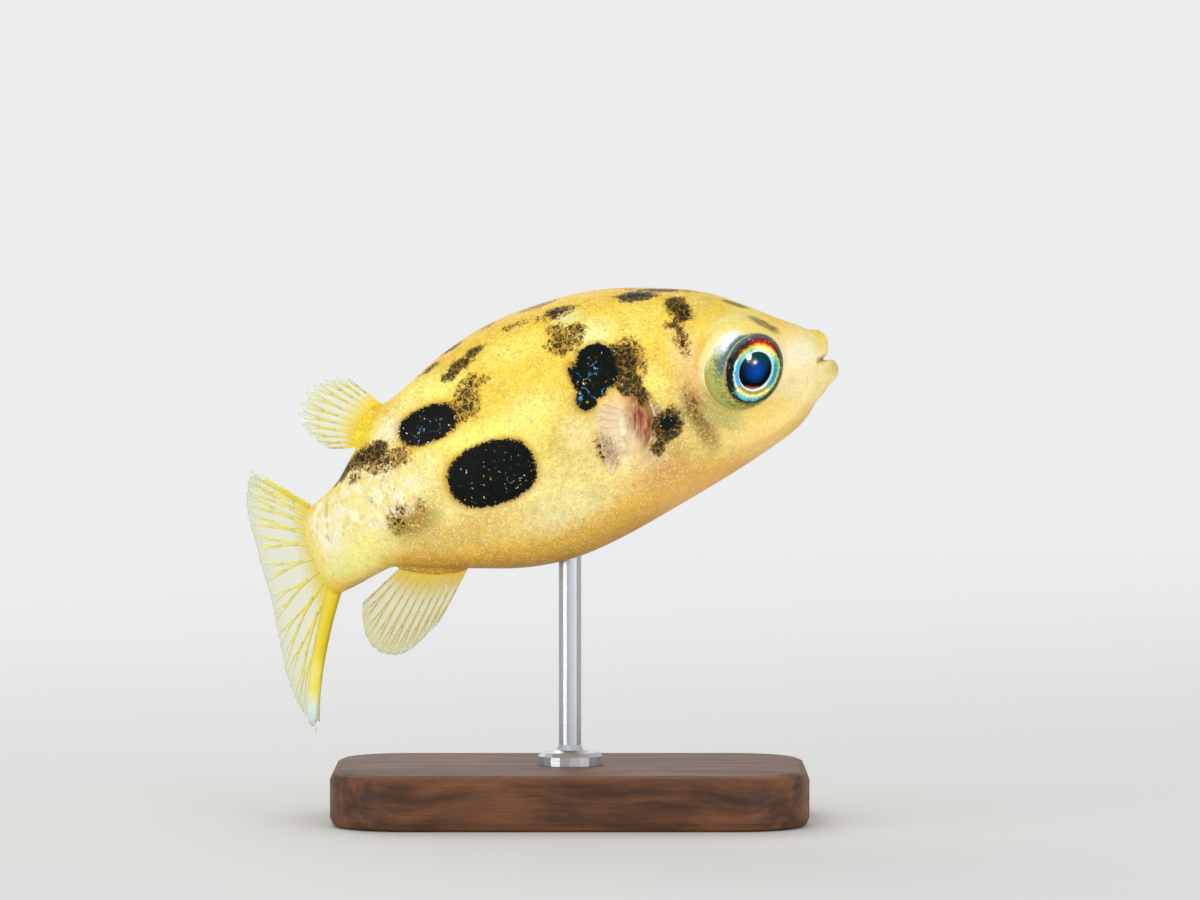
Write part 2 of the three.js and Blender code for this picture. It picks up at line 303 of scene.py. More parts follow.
@dataclass(frozen=True)
class FishForm:
    """The fish's own frame and flesh, in millimetres.

    Its origin is the tip of the snout: x runs forward, y to the fish's left and z
    towards its back. Along is the distance from the snout on the bent midline.
    """

    length: float = 23.1
    snout: tuple = (10.56, 0.0, 18.52)
    pitch: float = math.radians(20.8)
    bend_start: float = 14.0
    bend: float = math.radians(62)
    roundness: float = 2.2
    step: float = 0.01  # how finely the bent midline is added up
    spare: float = 8.0  # how far the midline is known past the tail root
    rows: tuple = (
        # along, back, belly, height of the widest place, half of the width
        (0.45, 1.22, -0.8, 0.2, 0.75),
        (0.8, 1.62, -1.16, 0.22, 1.05),
        (1.2, 1.96, -1.35, 0.26, 1.34),
        (1.8, 2.48, -1.82, 0.34, 1.7),
        (2.5, 3.14, -2.18, 0.45, 2.08),
        (3.85, 4.22, -2.55, 0.75, 2.68),
        (5.5, 5.04, -2.92, 0.85, 3.08),
        (8, 5.9, -3.36, 0.75, 3.48),
        (10.5, 6.19, -3.74, 0.6, 3.6),
        (12.5, 6.14, -3.83, 0.5, 3.48),
        (14.5, 5.72, -3.5, 0.55, 3.08),
        (16.8, 4.84, -2.66, 0.7, 2.35),
        (17.7, 4.55, -2.3, 0.72, 2.05),
        (19.4, 3.22, -1.64, 0.55, 1.42),
        (20.4, 2.44, -1.68, 0.35, 1.12),
        (21.4, 2.06, -1.82, 0.1, 0.85),
        (23.1, 1.6, -1.98, -0.2, 0.5),
    )

    def matrix(self) -> Matrix:
        """Gives the move from this frame to the model's, from millimetres to metres."""
        place = Matrix.Translation(Vector(self.snout) * MM)
        return place @ Matrix.Rotation(-self.pitch, 4, "Y") @ Matrix.Scale(MM, 4)

    def swing(self, along: np.ndarray) -> np.ndarray:
        """Gives how far the midline has turned to the left, in radians."""
        bent = np.clip(along, self.bend_start, self.length) - self.bend_start
        return self.bend * (bent / (self.length - self.bend_start)) ** 2

    def midline(self, along: np.ndarray) -> tuple[np.ndarray, np.ndarray]:
        """Finds the midline's place at distances along it.

        Args:
            along: Distances from the snout.

        Returns:
            How far back and how far left each place is.
        """
        middles = np.arange(0, self.length + self.spare, self.step) + self.step / 2
        turned = self.swing(middles)
        ends = np.concatenate([[0], middles + self.step / 2])
        back = np.concatenate([[0], np.cumsum(np.cos(turned) * self.step)])
        left = np.concatenate([[0], np.cumsum(np.sin(turned) * self.step)])
        near = np.minimum(along, 0)
        return np.interp(along, ends, back) + near, np.interp(along, ends, left)

    def outline(self, along: np.ndarray) -> tuple[np.ndarray, ...]:
        """Gives the heights of the back, belly and waist and half of the width."""
        return tuple(read_rows(self.rows, along).T)

    def place(self, along: np.ndarray, above: np.ndarray, left: np.ndarray) -> np.ndarray:
        """Turns places measured from the bent midline into points.

        Args:
            along: Distances from the snout.
            above: Heights over the midline.
            left: Distances to the left of it.

        Returns:
            One point for each.
        """
        back, side = self.midline(along)
        turned = self.swing(along)
        return np.stack(
            [left * np.sin(turned) - back, side + left * np.cos(turned), above + 0 * left],
            axis=1,
        )

    def offset(self, points: np.ndarray, along: np.ndarray) -> tuple[np.ndarray, np.ndarray]:
        """Measures points from places on the midline.

        Args:
            points: Points in the fish's frame.
            along: The place on the midline that each is measured from.

        Returns:
            How far on along the midline and how far left of it each is.
        """
        back, side = self.midline(along)
        turned = self.swing(along)
        behind, beside = -points[:, 0] - back, points[:, 1] - side
        on = behind * np.cos(turned) + beside * np.sin(turned)
        return on, beside * np.cos(turned) - behind * np.sin(turned)

    def locate(self, points: np.ndarray) -> tuple[np.ndarray, np.ndarray, np.ndarray]:
        """Measures points from the bent midline, the reverse of place.

        Args:
            points: Points in the fish's frame.

        Returns:
            How far along, above and left of the midline each is.
        """
        rounds, ease = 8, 0.8
        along = -points[:, 0]
        for _ in range(rounds):
            along = along + ease * self.offset(points, along)[0]
        return along, points[:, 2], self.offset(points, along)[1]

    def flesh_point(
        self, along: np.ndarray, angle: np.ndarray, high: np.ndarray, wide: np.ndarray
    ) -> np.ndarray:
        """Finds points of the flesh.

        Args:
            along: Distances from the snout.
            angle: Angles round the body, 0 at the back and a quarter turn at the left.
            high: Shares of the full height, 1 at the surface.
            wide: Shares of the full width.

        Returns:
            One point for each.
        """
        back, belly, waist, half = self.outline(along)
        power = 2 / self.roundness
        up = np.sign(np.cos(angle)) * np.abs(np.cos(angle)) ** power
        out = np.sign(np.sin(angle)) * np.abs(np.sin(angle)) ** power
        above = waist + high * np.where(up > 0, (back - waist) * up, (waist - belly) * up)
        return self.place(along, above, wide * half * out)

    def girth(self, along: np.ndarray, above: np.ndarray) -> np.ndarray:
        """Measures how far down the side a height lies, from the line of the back.

        Args:
            along: Distances from the snout.
            above: Heights over the midline.

        Returns:
            The lengths of skin from the back, in millimetres.
        """
        back, belly, waist, half = self.outline(along)
        depth = np.where(above > waist, back - waist, waist - belly)
        up = np.clip((above - waist) / depth, -1, 1)
        angle = np.arccos(np.sign(up) * np.abs(up) ** (self.roundness / 2))
        power = 2 / self.roundness
        steps = 24
        total = np.zeros_like(angle)
        last_up = np.ones_like(angle) * (back - waist)
        last_out = np.zeros_like(angle)
        for step in range(1, steps + 1):
            turn = angle * step / steps
            share = np.sign(np.cos(turn)) * np.abs(np.cos(turn)) ** power
            rise = share * np.where(share > 0, back - waist, waist - belly)
            out = half * np.abs(np.sin(turn)) ** power
            total += np.hypot(rise - last_up, out - last_out)
            last_up, last_out = rise, out
        return total


# ---- Material recipes -----------------------------------------------------------------


class Wire:
    """A socket of a material, on which arithmetic adds Math nodes."""

    def __init__(self, recipe: "Recipe", socket: bpy.types.NodeSocket) -> None:
        """Wraps an output socket of a recipe."""
        self.recipe = recipe
        self.socket = socket

    def math(self, operation: str, *values: "Wire | float") -> "Wire":
        """Adds a Math node and gives its result."""
        node = self.recipe.node("ShaderNodeMath", {"operation": operation}, dict(enumerate(values)))
        return Wire(self.recipe, node.outputs[0])

    def __add__(self, other: "Wire | float") -> "Wire":
        """Adds."""
        return self.math("ADD", self, other)

    def __sub__(self, other: "Wire | float") -> "Wire":
        """Subtracts."""
        return self.math("SUBTRACT", self, other)

    def __rsub__(self, other: float) -> "Wire":
        """Subtracts from a number."""
        return self.math("SUBTRACT", other, self)

    def __mul__(self, other: "Wire | float") -> "Wire":
        """Multiplies."""
        return self.math("MULTIPLY", self, other)

    __radd__ = __add__
    __rmul__ = __mul__

    def most(self, other: "Wire | float") -> "Wire":
        """Takes the larger."""
        return self.math("MAXIMUM", self, other)

    def least(self, other: "Wire | float") -> "Wire":
        """Takes the smaller."""
        return self.math("MINIMUM", self, other)

    def step(self, low: float, high: float) -> "Wire":
        """Rises smoothly from 0 at low to 1 at high.

        Args:
            low: Where the rise starts.
            high: Where it ends.

        Returns:
            The eased share.
        """
        settings = {"interpolation_type": "SMOOTHSTEP"}
        node = self.recipe.node("ShaderNodeMapRange", settings, {0: self, 1: low, 2: high})
        return Wire(self.recipe, node.outputs[0])


class Recipe:
    """A material or a world, and the ways to add nodes to it."""

    def __init__(self, name: str, blocks: str = "materials") -> None:
        """Starts it with no nodes.

        Args:
            name: Its name.
            blocks: Where it is kept: "materials" or "worlds".
        """
        self.block = getattr(bpy.data, blocks).new(name)
        self.block.use_nodes = True
        self.tree = self.block.node_tree
        self.tree.nodes.clear()

    def node(
        self, kind: str, settings: dict | None = None, inputs: dict | None = None
    ) -> bpy.types.Node:
        """Adds a node.

        Args:
            kind: Its type.
            settings: Its own settings, by name. A ramp's stops are given as "stops".
            inputs: Numbers, colours or wires, by the name or number of their socket.

        Returns:
            The node.
        """
        node = self.tree.nodes.new(kind)
        for key, value in (settings or {}).items():
            if key == "stops":
                self.set_stops(node.color_ramp, value)
            else:
                setattr(node, key, value)
        for key, value in (inputs or {}).items():
            socket = node.inputs[key]
            if isinstance(value, Wire):
                self.tree.links.new(value.socket, socket)
            elif socket.type == "RGBA" and len(value) == 3:
                socket.default_value = (*value, 1)
            else:
                socket.default_value = value
        return node

    @staticmethod
    def set_stops(ramp: bpy.types.ColorRamp, stops: tuple) -> None:
        """Fills a colour ramp.

        Args:
            ramp: The ramp.
            stops: Rows of a place from 0 to 1, red, green and blue.
        """
        while len(ramp.elements) < len(stops):
            ramp.elements.new(1.0)
        for element, (place, *colour) in zip(ramp.elements, stops):
            element.position = place
            element.color = (*srgb(*colour), 1)

    def wire(self, kind: str, output: str | int, settings: dict, inputs: dict) -> Wire:
        """Adds a node and gives one of its outputs."""
        return Wire(self, self.node(kind, settings, inputs).outputs[output])

    def scaled(self, vector: Wire, factors: tuple) -> Wire:
        """Multiplies a place by a number along each axis."""
        settings, inputs = {"operation": "MULTIPLY"}, {0: vector, 1: factors}
        return self.wire("ShaderNodeVectorMath", 0, settings, inputs)

    def ray_kind(self, name: str) -> Wire:
        """Tells whether a ray is of a kind, such as "Is Camera Ray"."""
        return self.wire("ShaderNodeLightPath", name, {}, {})

    def millimetres(self, stretch: Colour = (1, 1, 1)) -> Wire:
        """Gives the place on the object in millimetres, squeezed along each axis."""
        place = self.wire("ShaderNodeTexCoord", "Object", {}, {})
        return self.scaled(place, tuple(1000 * value for value in stretch))

    def shift(self, vector: Wire, by: Wire, amount: float) -> Wire:
        """Moves a pattern's place by an amount of a noise's colour."""
        inputs = {0: by, 1: (amount,) * 3, 2: vector}
        return self.wire("ShaderNodeVectorMath", 0, {"operation": "MULTIPLY_ADD"}, inputs)

    def noise(self, vector: Wire, scale: float, detail: float = 3, rough: float = 0.55) -> Wire:
        """Gives noise from 0 to 1, with scale grains to a unit and finer detail on top."""
        inputs = {"Vector": vector, "Scale": scale, "Detail": detail, "Roughness": rough}
        return self.wire("ShaderNodeTexNoise", 0, {}, inputs)

    def noise_colour(self, vector: Wire, scale: float) -> Wire:
        """Gives noise in three channels, for moving a place."""
        return self.wire("ShaderNodeTexNoise", 1, {}, {"Vector": vector, "Scale": scale})

    def dots(self, vector: Wire, scale: float, radius: float, share: float) -> Wire:
        """Scatters round dots.

        Args:
            vector: Where to read them.
            scale: Cells to a unit.
            radius: A dot's radius, as a share of a cell.
            share: How many of the cells have a dot.

        Returns:
            1 on a dot and 0 off it.
        """
        cell = self.node("ShaderNodeTexVoronoi", {}, {"Vector": vector, "Scale": scale})
        chance = self.wire("ShaderNodeSeparateColor", 0, {}, {0: Wire(self, cell.outputs["Color"])})
        near = Wire(self, cell.outputs["Distance"])
        return (1 - near.step(radius * 0.55, radius)) * (1 - chance.step(share, share + 0.01))

    def flecks(self, vector: Wire, scale: float, radius: float, share: float) -> Wire:
        """Scatters crooked flecks the way that dots scatters round ones."""
        crooked = self.shift(vector, self.noise_colour(vector, 1.7 * scale), 1.5 / scale)
        return self.dots(crooked, scale, radius, share)

    def cracks(self, vector: Wire, scale: float, width: float) -> Wire:
        """Draws fine crooked lines round cells.

        Args:
            vector: Where to read them.
            scale: Cells to a unit.
            width: A line's width, as a share of a cell.

        Returns:
            1 on a line and 0 off it.
        """
        crooked = self.shift(vector, self.noise_colour(vector, 1.3 * scale), 1.0 / scale)
        settings = {"feature": "DISTANCE_TO_EDGE"}
        inputs = {"Vector": crooked, "Scale": scale}
        away = self.wire("ShaderNodeTexVoronoi", "Distance", settings, inputs)
        return 1 - away.step(0.3 * width, width)

    def attribute(self, name: str, output: str = "Fac") -> Wire:
        """Reads an attribute of the piece, as a number unless another output is named."""
        return self.wire("ShaderNodeAttribute", output, {"attribute_name": name}, {})

    def ramp(self, factor: Wire, stops: tuple) -> Wire:
        """Looks a number up in a ramp of colours."""
        return self.wire("ShaderNodeValToRGB", 0, {"stops": stops}, {0: factor})

    def mix(self, factor: Wire | float, first: Wire | Colour, second: Wire | Colour) -> Wire:
        """Mixes two colours, of which the factor gives the second's share."""
        settings = {"data_type": "RGBA", "clamp_factor": True}
        return self.wire("ShaderNodeMix", 2, settings, {0: factor, 6: first, 7: second})

    def times(self, colour: Wire, factor: Wire) -> Wire:
        """Brightens or darkens a colour by a number."""
        return self.wire("ShaderNodeVectorMath", 0, {"operation": "SCALE"}, {0: colour, 3: factor})

    def bump(self, height: Wire, depth: float, strength: float = 1.0) -> Wire:
        """Roughens the surface to a depth in millimetres and gives the normal."""
        inputs = {"Height": height, "Distance": depth * MM, "Strength": strength}
        return self.wire("ShaderNodeBump", 0, {}, inputs)

    def blend(
        self, factor: Wire, first: bpy.types.Node, second: bpy.types.Node
    ) -> bpy.types.Node:
        """Mixes two shaders, of which the factor gives the second's share."""
        inputs = {0: factor, 1: Wire(self, first.outputs[0]), 2: Wire(self, second.outputs[0])}
        return self.node("ShaderNodeMixShader", {}, inputs)

    def finish(
        self, shader: bpy.types.Node, output: str = "ShaderNodeOutputMaterial"
    ) -> bpy.types.Material | bpy.types.World:
        """Ends the material or world with a shader."""
        self.node(output, {}, {0: Wire(self, shader.outputs[0])})
        return self.block

    def principled(self, **inputs: object) -> bpy.types.Node:
        """Adds the main shader, whose sockets are named with _ for each space."""
        named = {key.replace("_", " "): value for key, value in inputs.items()}
        return self.node("ShaderNodeBsdfPrincipled", {}, named)


# ---- Markings -------------------------------------------------------------------------


@dataclass(frozen=True)
class Patch:
    """An oval marking on the fish's side.

    Along and above place its middle; reach and tall are half of its size along the body
    and round it; tilt turns its rear end up, in degrees; square makes it boxier.
    """

    mark: Mark
    along: float
    above: float
    reach: float
    tall: float
    tilt: float = 0.0
    square: float = 2.0


@dataclass(frozen=True)
class Tint:
    """A soft patch of ground colour on both sides of the fish, fading out to its reach."""

    along: float
    above: float
    reach: float
    tall: float
    colour: Colour
    strength: float = 1.0


BLACK, UMBER, DAPPLE, RUST, PEARL, JEWEL, PLAIN, STREAK = Mark

PATCH_ROWS = (
    # mark, along, above, reach, tall, tilt, square
    # The big oval over the flank
    (BLACK, 14.3, 0.58, 1.75, 1.27, 2, 2.4),
    # The blotch behind the head, its brown front part and the patches above it
    (BLACK, 8.98, 3.05, 0.78, 0.98, 0, 2.8),
    (BLACK, 9.74, 2.75, 0.38, 0.82, -8, 2.6),
    (BLACK, 9.84, 2.02, 0.42, 0.46),
    (BLACK, 9.35, 2.3, 0.52, 0.42),
    (JEWEL, 9.5, 2.6, 0.9, 1.1),
    (JEWEL, 16.0, 3.2, 0.8, 0.45),
    (JEWEL, 13.6, 0.0, 0.6, 0.35),
    (UMBER, 8.2, 2.87, 0.74, 0.84, 0, 3),
    (DAPPLE, 7.6, 2.9, 0.58, 0.84, 0, 3),
    (UMBER, 8.0, 2.1, 0.6, 0.62),
    (UMBER, 7.74, 1.5, 0.3, 0.6),
    (DAPPLE, 9.9, 4.45, 0.74, 0.6),
    (DAPPLE, 9.34, 4.66, 0.5, 0.46),
    (DAPPLE, 9.98, 4.96, 0.4, 0.36),
    (UMBER, 9.75, 5.66, 0.62, 0.3, -4),
    (DAPPLE, 9.7, 5.62, 0.85, 0.38),
    (DAPPLE, 10.3, 6.12, 0.8, 0.3),
    (DAPPLE, 11.5, 5.75, 0.5, 0.2),
    # Along the front of the back
    (UMBER, 6.55, 5.12, 0.85, 0.42, 16),
    (BLACK, 6.55, 5.15, 0.5, 0.16, 16),
    (UMBER, 6.8, 5.6, 1.0, 0.26, 19),
    (UMBER, 5.6, 5.0, 1.15, 0.26, 24),
    # The forehead's blotch and its tail
    (UMBER, 5.2, 4.34, 0.46, 0.34, 8, 2.5),
    (UMBER, 5.05, 4.05, 0.3, 0.4),
    (UMBER, 5.06, 3.76, 0.4, 0.32, 16),
    (DAPPLE, 5.14, 3.95, 0.46, 0.6),
    (UMBER, 5.6, 3.55, 0.26, 0.2, 20),
    (UMBER, 5.44, 3.1, 0.18, 0.5),
    (DAPPLE, 5.46, 2.85, 0.26, 0.6),
    (STREAK, 2.95, 3.4, 0.52, 0.16, 44),
    (STREAK, 2.2, 2.28, 0.68, 0.13, 54),
    # The rear blotch, its brown front part and the patches over it
    (BLACK, 15.97, 3.3, 1.13, 0.75, -3, 2.6),
    (DAPPLE, 14.55, 3.35, 0.75, 0.56),
    (DAPPLE, 14.2, 3.85, 0.54, 0.5),
    (DAPPLE, 13.85, 4.25, 0.44, 0.36),
    (DAPPLE, 13.4, 4.2, 0.3, 0.2),
    (UMBER, 14.5, 4.85, 0.44, 0.3, -12),
    (UMBER, 14.0, 5.05, 0.5, 0.34, -14),
    (UMBER, 13.4, 5.32, 0.42, 0.26, -12),
    (UMBER, 15.2, 5.36, 0.5, 0.22, -18),
    (UMBER, 14.15, 5.75, 0.5, 0.22, -14),
    (DAPPLE, 12.5, 6.08, 0.35, 0.18),
    # Under the dorsal fin and on the tail
    (UMBER, 18.4, 2.98, 0.98, 0.4, -8),
    (DAPPLE, 18.8, 2.95, 0.95, 0.48, -14),
    (UMBER, 19.7, 2.7, 0.72, 0.32, -22),
    (UMBER, 20.4, 2.36, 0.45, 0.2, -22),
    (DAPPLE, 18.1, 2.6, 0.66, 0.5),
    (DAPPLE, 17.45, 2.5, 0.6, 0.42),
    (DAPPLE, 19.3, 2.3, 0.32, 0.24),
    (DAPPLE, 18.26, 0.02, 0.32, 0.48),
    (DAPPLE, 17.9, 0.5, 0.2, 0.24),
    (DAPPLE, 17.2, 0.4, 0.18, 0.26),
    # The cheek and round the gill opening
    (UMBER, 7.2, -0.08, 0.64, 0.6, 0, 2.2),
    (BLACK, 7.12, 0.0, 0.36, 0.3),
    (UMBER, 7.5, -0.5, 0.38, 0.28, -40),
    (UMBER, 7.85, -0.8, 0.3, 0.32),
    (DAPPLE, 6.75, 0.25, 0.3, 0.4),
    (DAPPLE, 5.95, 0.4, 0.16, 0.5, -7),
    (RUST, 8.1, 0.42, 0.48, 1.0),
    (RUST, 7.95, 1.25, 0.38, 0.5),
    (DAPPLE, 9.8, -0.15, 0.4, 0.75, -5),
    (PEARL, 9.0, 0.3, 0.85, 1.5, 12),
    (PEARL, 18.8, 1.4, 2.2, 1.7),
    (PEARL, 17.6, 3.0, 1.0, 0.9),
    (PEARL, 19.0, 0.5, 1.3, 0.9),
    # Smooth skin with few specks: the face, and the front of the belly
    (PLAIN, 1.6, 0.4, 4.6, 4.6),
    (PLAIN, 7.0, -3.0, 4.2, 1.6, -10),
    (PLAIN, 21.0, -1.0, 2.4, 1.3),
    (PEARL, 21.2, 1.0, 1.5, 1.6),
)
RIGHT_PATCHES = tuple(Patch(*row) for row in PATCH_ROWS)

GROUND = (
    # share of the way from belly to back, red, green, blue
    # The belly's very edge is darker: partly its own ochre, partly painted shade
    (0.0, *srgb(208, 152, 48)),
    (0.1, *srgb(244, 194, 78)),
    (0.2, *srgb(243, 220, 132)),
    (0.32, *srgb(244, 229, 146)),
    (0.48, *srgb(234, 207, 98)),
    (0.66, *srgb(246, 211, 76)),
    (0.85, *srgb(252, 216, 70)),
    (1.0, *srgb(242, 200, 36)),
)

TINTS = (
    Tint(0.2, 0.2, 2.2, 2.6, srgb(248, 230, 168)),
    Tint(2.2, 0.2, 2.9, 2.7, srgb(253, 233, 180), 0.95),
    Tint(0.2, 0.8, 0.9, 0.8, srgb(240, 224, 120), 0.9),
    Tint(0.15, 1.1, 0.45, 0.4, srgb(232, 208, 66), 0.8),
    Tint(0.4, -0.5, 0.9, 0.9, srgb(244, 226, 158), 0.95),
    Tint(0.1, -0.4, 0.6, 0.45, srgb(212, 194, 114), 0.9),
    Tint(1.3, -1.0, 0.8, 0.8, srgb(255, 238, 168), 0.8),
    Tint(1.3, 0.65, 1.1, 0.9, srgb(255, 253, 218), 0.85),
    # Painted shade in the deep end of the mouth's slit
    Tint(0.45, 0.1, 0.4, 0.16, srgb(120, 76, 36), 0.9),
    Tint(2.6, 2.9, 1.6, 1.0, srgb(244, 228, 128), 0.85),
    Tint(4.2, 3.9, 1.6, 1.0, srgb(236, 208, 92), 0.8),
    Tint(3.9, 2.75, 1.4, 0.6, srgb(254, 243, 140), 0.8),
    Tint(4.2, -1.4, 3.6, 1.3, srgb(250, 223, 142), 0.8),
    Tint(3.3, -1.0, 1.8, 0.8, srgb(249, 216, 110), 0.7),
    Tint(3.4, -2.4, 3.0, 0.8, srgb(255, 214, 136), 0.8),
    Tint(7.0, -3.0, 3.6, 1.0, srgb(253, 196, 110), 0.9),
    Tint(7.9, -1.8, 2.3, 1.0, srgb(228, 170, 98), 0.9),
    Tint(5.6, 0.6, 1.2, 2.4, srgb(252, 216, 162), 0.75),
    Tint(5.5, 2.6, 0.9, 1.3, srgb(244, 216, 150), 0.8),
    Tint(6.2, -0.9, 1.9, 1.6, srgb(230, 202, 104), 0.7),
    Tint(5.95, 0.1, 0.8, 1.4, srgb(108, 84, 32), 0.95),
    Tint(5.8, -0.9, 0.66, 1.2, srgb(134, 106, 50), 0.8),
    Tint(7.2, -0.05, 0.85, 0.8, srgb(74, 52, 28), 0.95),
    Tint(7.5, 0.65, 0.5, 0.7, srgb(160, 124, 76), 0.8),
    Tint(7.3, -1.0, 1.0, 0.8, srgb(196, 154, 88), 0.6),
    Tint(7.0, 4.2, 1.7, 1.4, srgb(252, 234, 110), 0.6),
    Tint(8.7, 4.35, 1.3, 0.95, srgb(255, 253, 166), 0.95),
    Tint(9.4, 5.3, 0.9, 0.5, srgb(253, 246, 170), 0.9),
    Tint(7.0, 1.75, 0.7, 1.1, srgb(250, 236, 122), 0.95),
    Tint(12.0, 2.25, 2.0, 1.2, srgb(255, 243, 134), 0.9),
    Tint(10.1, 2.0, 0.7, 0.8, srgb(212, 176, 66), 0.8),
    Tint(11.9, 4.9, 2.1, 0.9, srgb(255, 240, 114), 0.85),
    Tint(8.5, 1.62, 0.9, 0.5, srgb(232, 174, 88), 0.85),
    Tint(8.95, 0.4, 1.5, 2.0, srgb(254, 224, 178)),
    Tint(10.6, 0.9, 1.1, 1.1, srgb(254, 240, 170), 0.9),
    Tint(12.2, -1.9, 2.4, 1.2, srgb(243, 232, 168), 0.8),
    Tint(9.8, -0.2, 0.6, 1.1, srgb(216, 168, 100), 0.8),
    Tint(8.3, -1.1, 1.1, 0.7, srgb(232, 200, 150), 0.7),
    Tint(15.4, 4.6, 2.1, 0.8, srgb(255, 250, 132), 0.95),
    Tint(14.4, 2.2, 2.9, 0.75, srgb(255, 249, 122)),
    Tint(16.4, 1.8, 0.8, 0.9, srgb(255, 248, 164), 0.8),
    Tint(16.9, 1.2, 1.0, 1.2, srgb(250, 240, 160), 0.85),
    Tint(16.6, 4.3, 0.9, 0.5, srgb(250, 240, 150), 0.8),
    Tint(12.2, 1.4, 1.0, 1.1, srgb(254, 238, 118), 0.8),
    Tint(17.7, -0.1, 1.5, 1.2, srgb(158, 126, 38), 0.95),
    Tint(17.5, 3.7, 1.1, 0.8, srgb(252, 246, 206), 0.9),
    Tint(18.7, 4.05, 1.6, 0.95, srgb(255, 228, 34)),
    Tint(18.3, 1.4, 2.2, 1.6, srgb(249, 236, 160), 0.85),
    Tint(20.3, 1.2, 2.2, 1.7, srgb(252, 240, 152), 0.85),
    Tint(20.8, -0.7, 3.0, 1.6, srgb(255, 250, 150), 0.95),
    # Whitish on the tail's root: partly its pale flesh, partly a painted highlight
    Tint(21.6, 0.3, 1.6, 1.6, srgb(255, 252, 196), 0.8),
    Tint(15.9, -1.2, 3.4, 1.0, srgb(228, 192, 94), 0.8),
    Tint(22.8, 0.0, 1.4, 2.6, srgb(252, 234, 120), 0.8),
    Tint(22.9, -1.7, 1.4, 0.9, srgb(250, 216, 44), 0.85),
    Tint(12.0, -3.0, 3.0, 0.8, srgb(236, 190, 84), 0.6),
)


@dataclass(frozen=True)
class Markings:
    """Works out the fish's colours and markings at places on its skin."""

    form: FishForm
    level: float = 0.5  # height up the flank from which heights on the skin are measured
    drift_along: float = 0.28  # how far a patch of the left side strays from the right one's
    drift_above: float = 0.16
    resize: float = 0.12
    twist: float = 8.0
    ridge_band: float = 0.5  # patches this near the line of the back stay where they are
    outside: float = -2.0  # the depth given far from every patch

    def left_patches(self) -> list[Patch]:
        """Gives the left side's patches: the right ones, a little moved and resized.

        Returns:
            The patches, in the same order.
        """
        moved = []
        for number, patch in enumerate(RIGHT_PATCHES):
            ridge = self.form.outline(np.array([patch.along]))[0][0]
            free = 0.0 if patch.above > ridge - self.ridge_band else 1.0
            changes = {
                "along": patch.along + free * self.drift_along * math.sin(2.4 * number),
                "above": patch.above + free * self.drift_above * math.cos(1.7 * number),
                "reach": patch.reach * (1 + self.resize * math.sin(3.1 * number)),
                "tall": patch.tall * (1 + self.resize * math.cos(2.3 * number)),
                "tilt": patch.tilt + self.twist * math.sin(1.3 * number),
            }
            moved.append(replace(patch, **changes))
        return moved

    def climb(self, along: np.ndarray, above: np.ndarray) -> tuple[np.ndarray, np.ndarray]:
        """Measures heights along the skin instead of straight up.

        Args:
            along: Distances from the snout.
            above: Heights over the midline.

        Returns:
            The height of each place up the skin, and that of the line of the back there.
        """
        level = np.full_like(along, self.level)
        ridge = self.level + self.form.girth(along, level)
        return ridge - self.form.girth(along, above), ridge

    def signed_depth(self, patch: Patch, along: np.ndarray, climb: np.ndarray) -> np.ndarray:
        """Measures how deep inside a patch places are.

        Args:
            patch: The marking.
            along: Distances from the snout.
            climb: Heights up the skin.

        Returns:
            Millimetres inside the patch's edge, negative outside.
        """
        middle = self.climb(np.array([patch.along]), np.array([patch.above]))[0][0]
        tilt = math.radians(patch.tilt)
        behind, over = along - patch.along, climb - middle
        long_way = (behind * math.cos(tilt) + over * math.sin(tilt)) / patch.reach
        short_way = (over * math.cos(tilt) - behind * math.sin(tilt)) / patch.tall
        power = patch.square
        away = (np.abs(long_way) ** power + np.abs(short_way) ** power) ** (1 / power)
        return (1 - away) * min(patch.reach, patch.tall)

    def fields(
        self, along: np.ndarray, above: np.ndarray, left: np.ndarray
    ) -> dict[Mark, np.ndarray]:
        """Works out each kind of marking.

        Args:
            along: Distances from the snout.
            above: Heights over the midline.
            left: Distances to the left of the midline.

        Returns:
            For each kind, how deep inside a patch each place is.
        """
        climb, ridge = self.climb(along, above)
        result = {mark: np.full(len(along), self.outside) for mark in Mark}
        for side, patches in ((Side.RIGHT, RIGHT_PATCHES), (Side.LEFT, self.left_patches())):
            over_back = np.where(left * side.value >= 0, climb, 2 * ridge - climb)
            for patch in patches:
                depth = self.signed_depth(patch, along, over_back)
                result[patch.mark] = np.maximum(result[patch.mark], depth)
        return result

    def ground(self, along: np.ndarray, above: np.ndarray) -> np.ndarray:
        """Works out the colour under the markings.

        Args:
            along: Distances from the snout.
            above: Heights over the midline.

        Returns:
            A linear colour for each place.
        """
        back, belly, _, _ = self.form.outline(along)
        share = np.clip((above - belly) / (back - belly), 0, 1)
        colour = read_rows(GROUND, share)
        for tint in TINTS:
            away = np.hypot((along - tint.along) / tint.reach, (above - tint.above) / tint.tall)
            cover = (tint.strength * (1 - smooth_step(0.15, 1.0, away)))[:, None]
            colour = colour * (1 - cover) + np.array(tint.colour) * cover
        return colour


# ---- Eyes -----------------------------------------------------------------------------


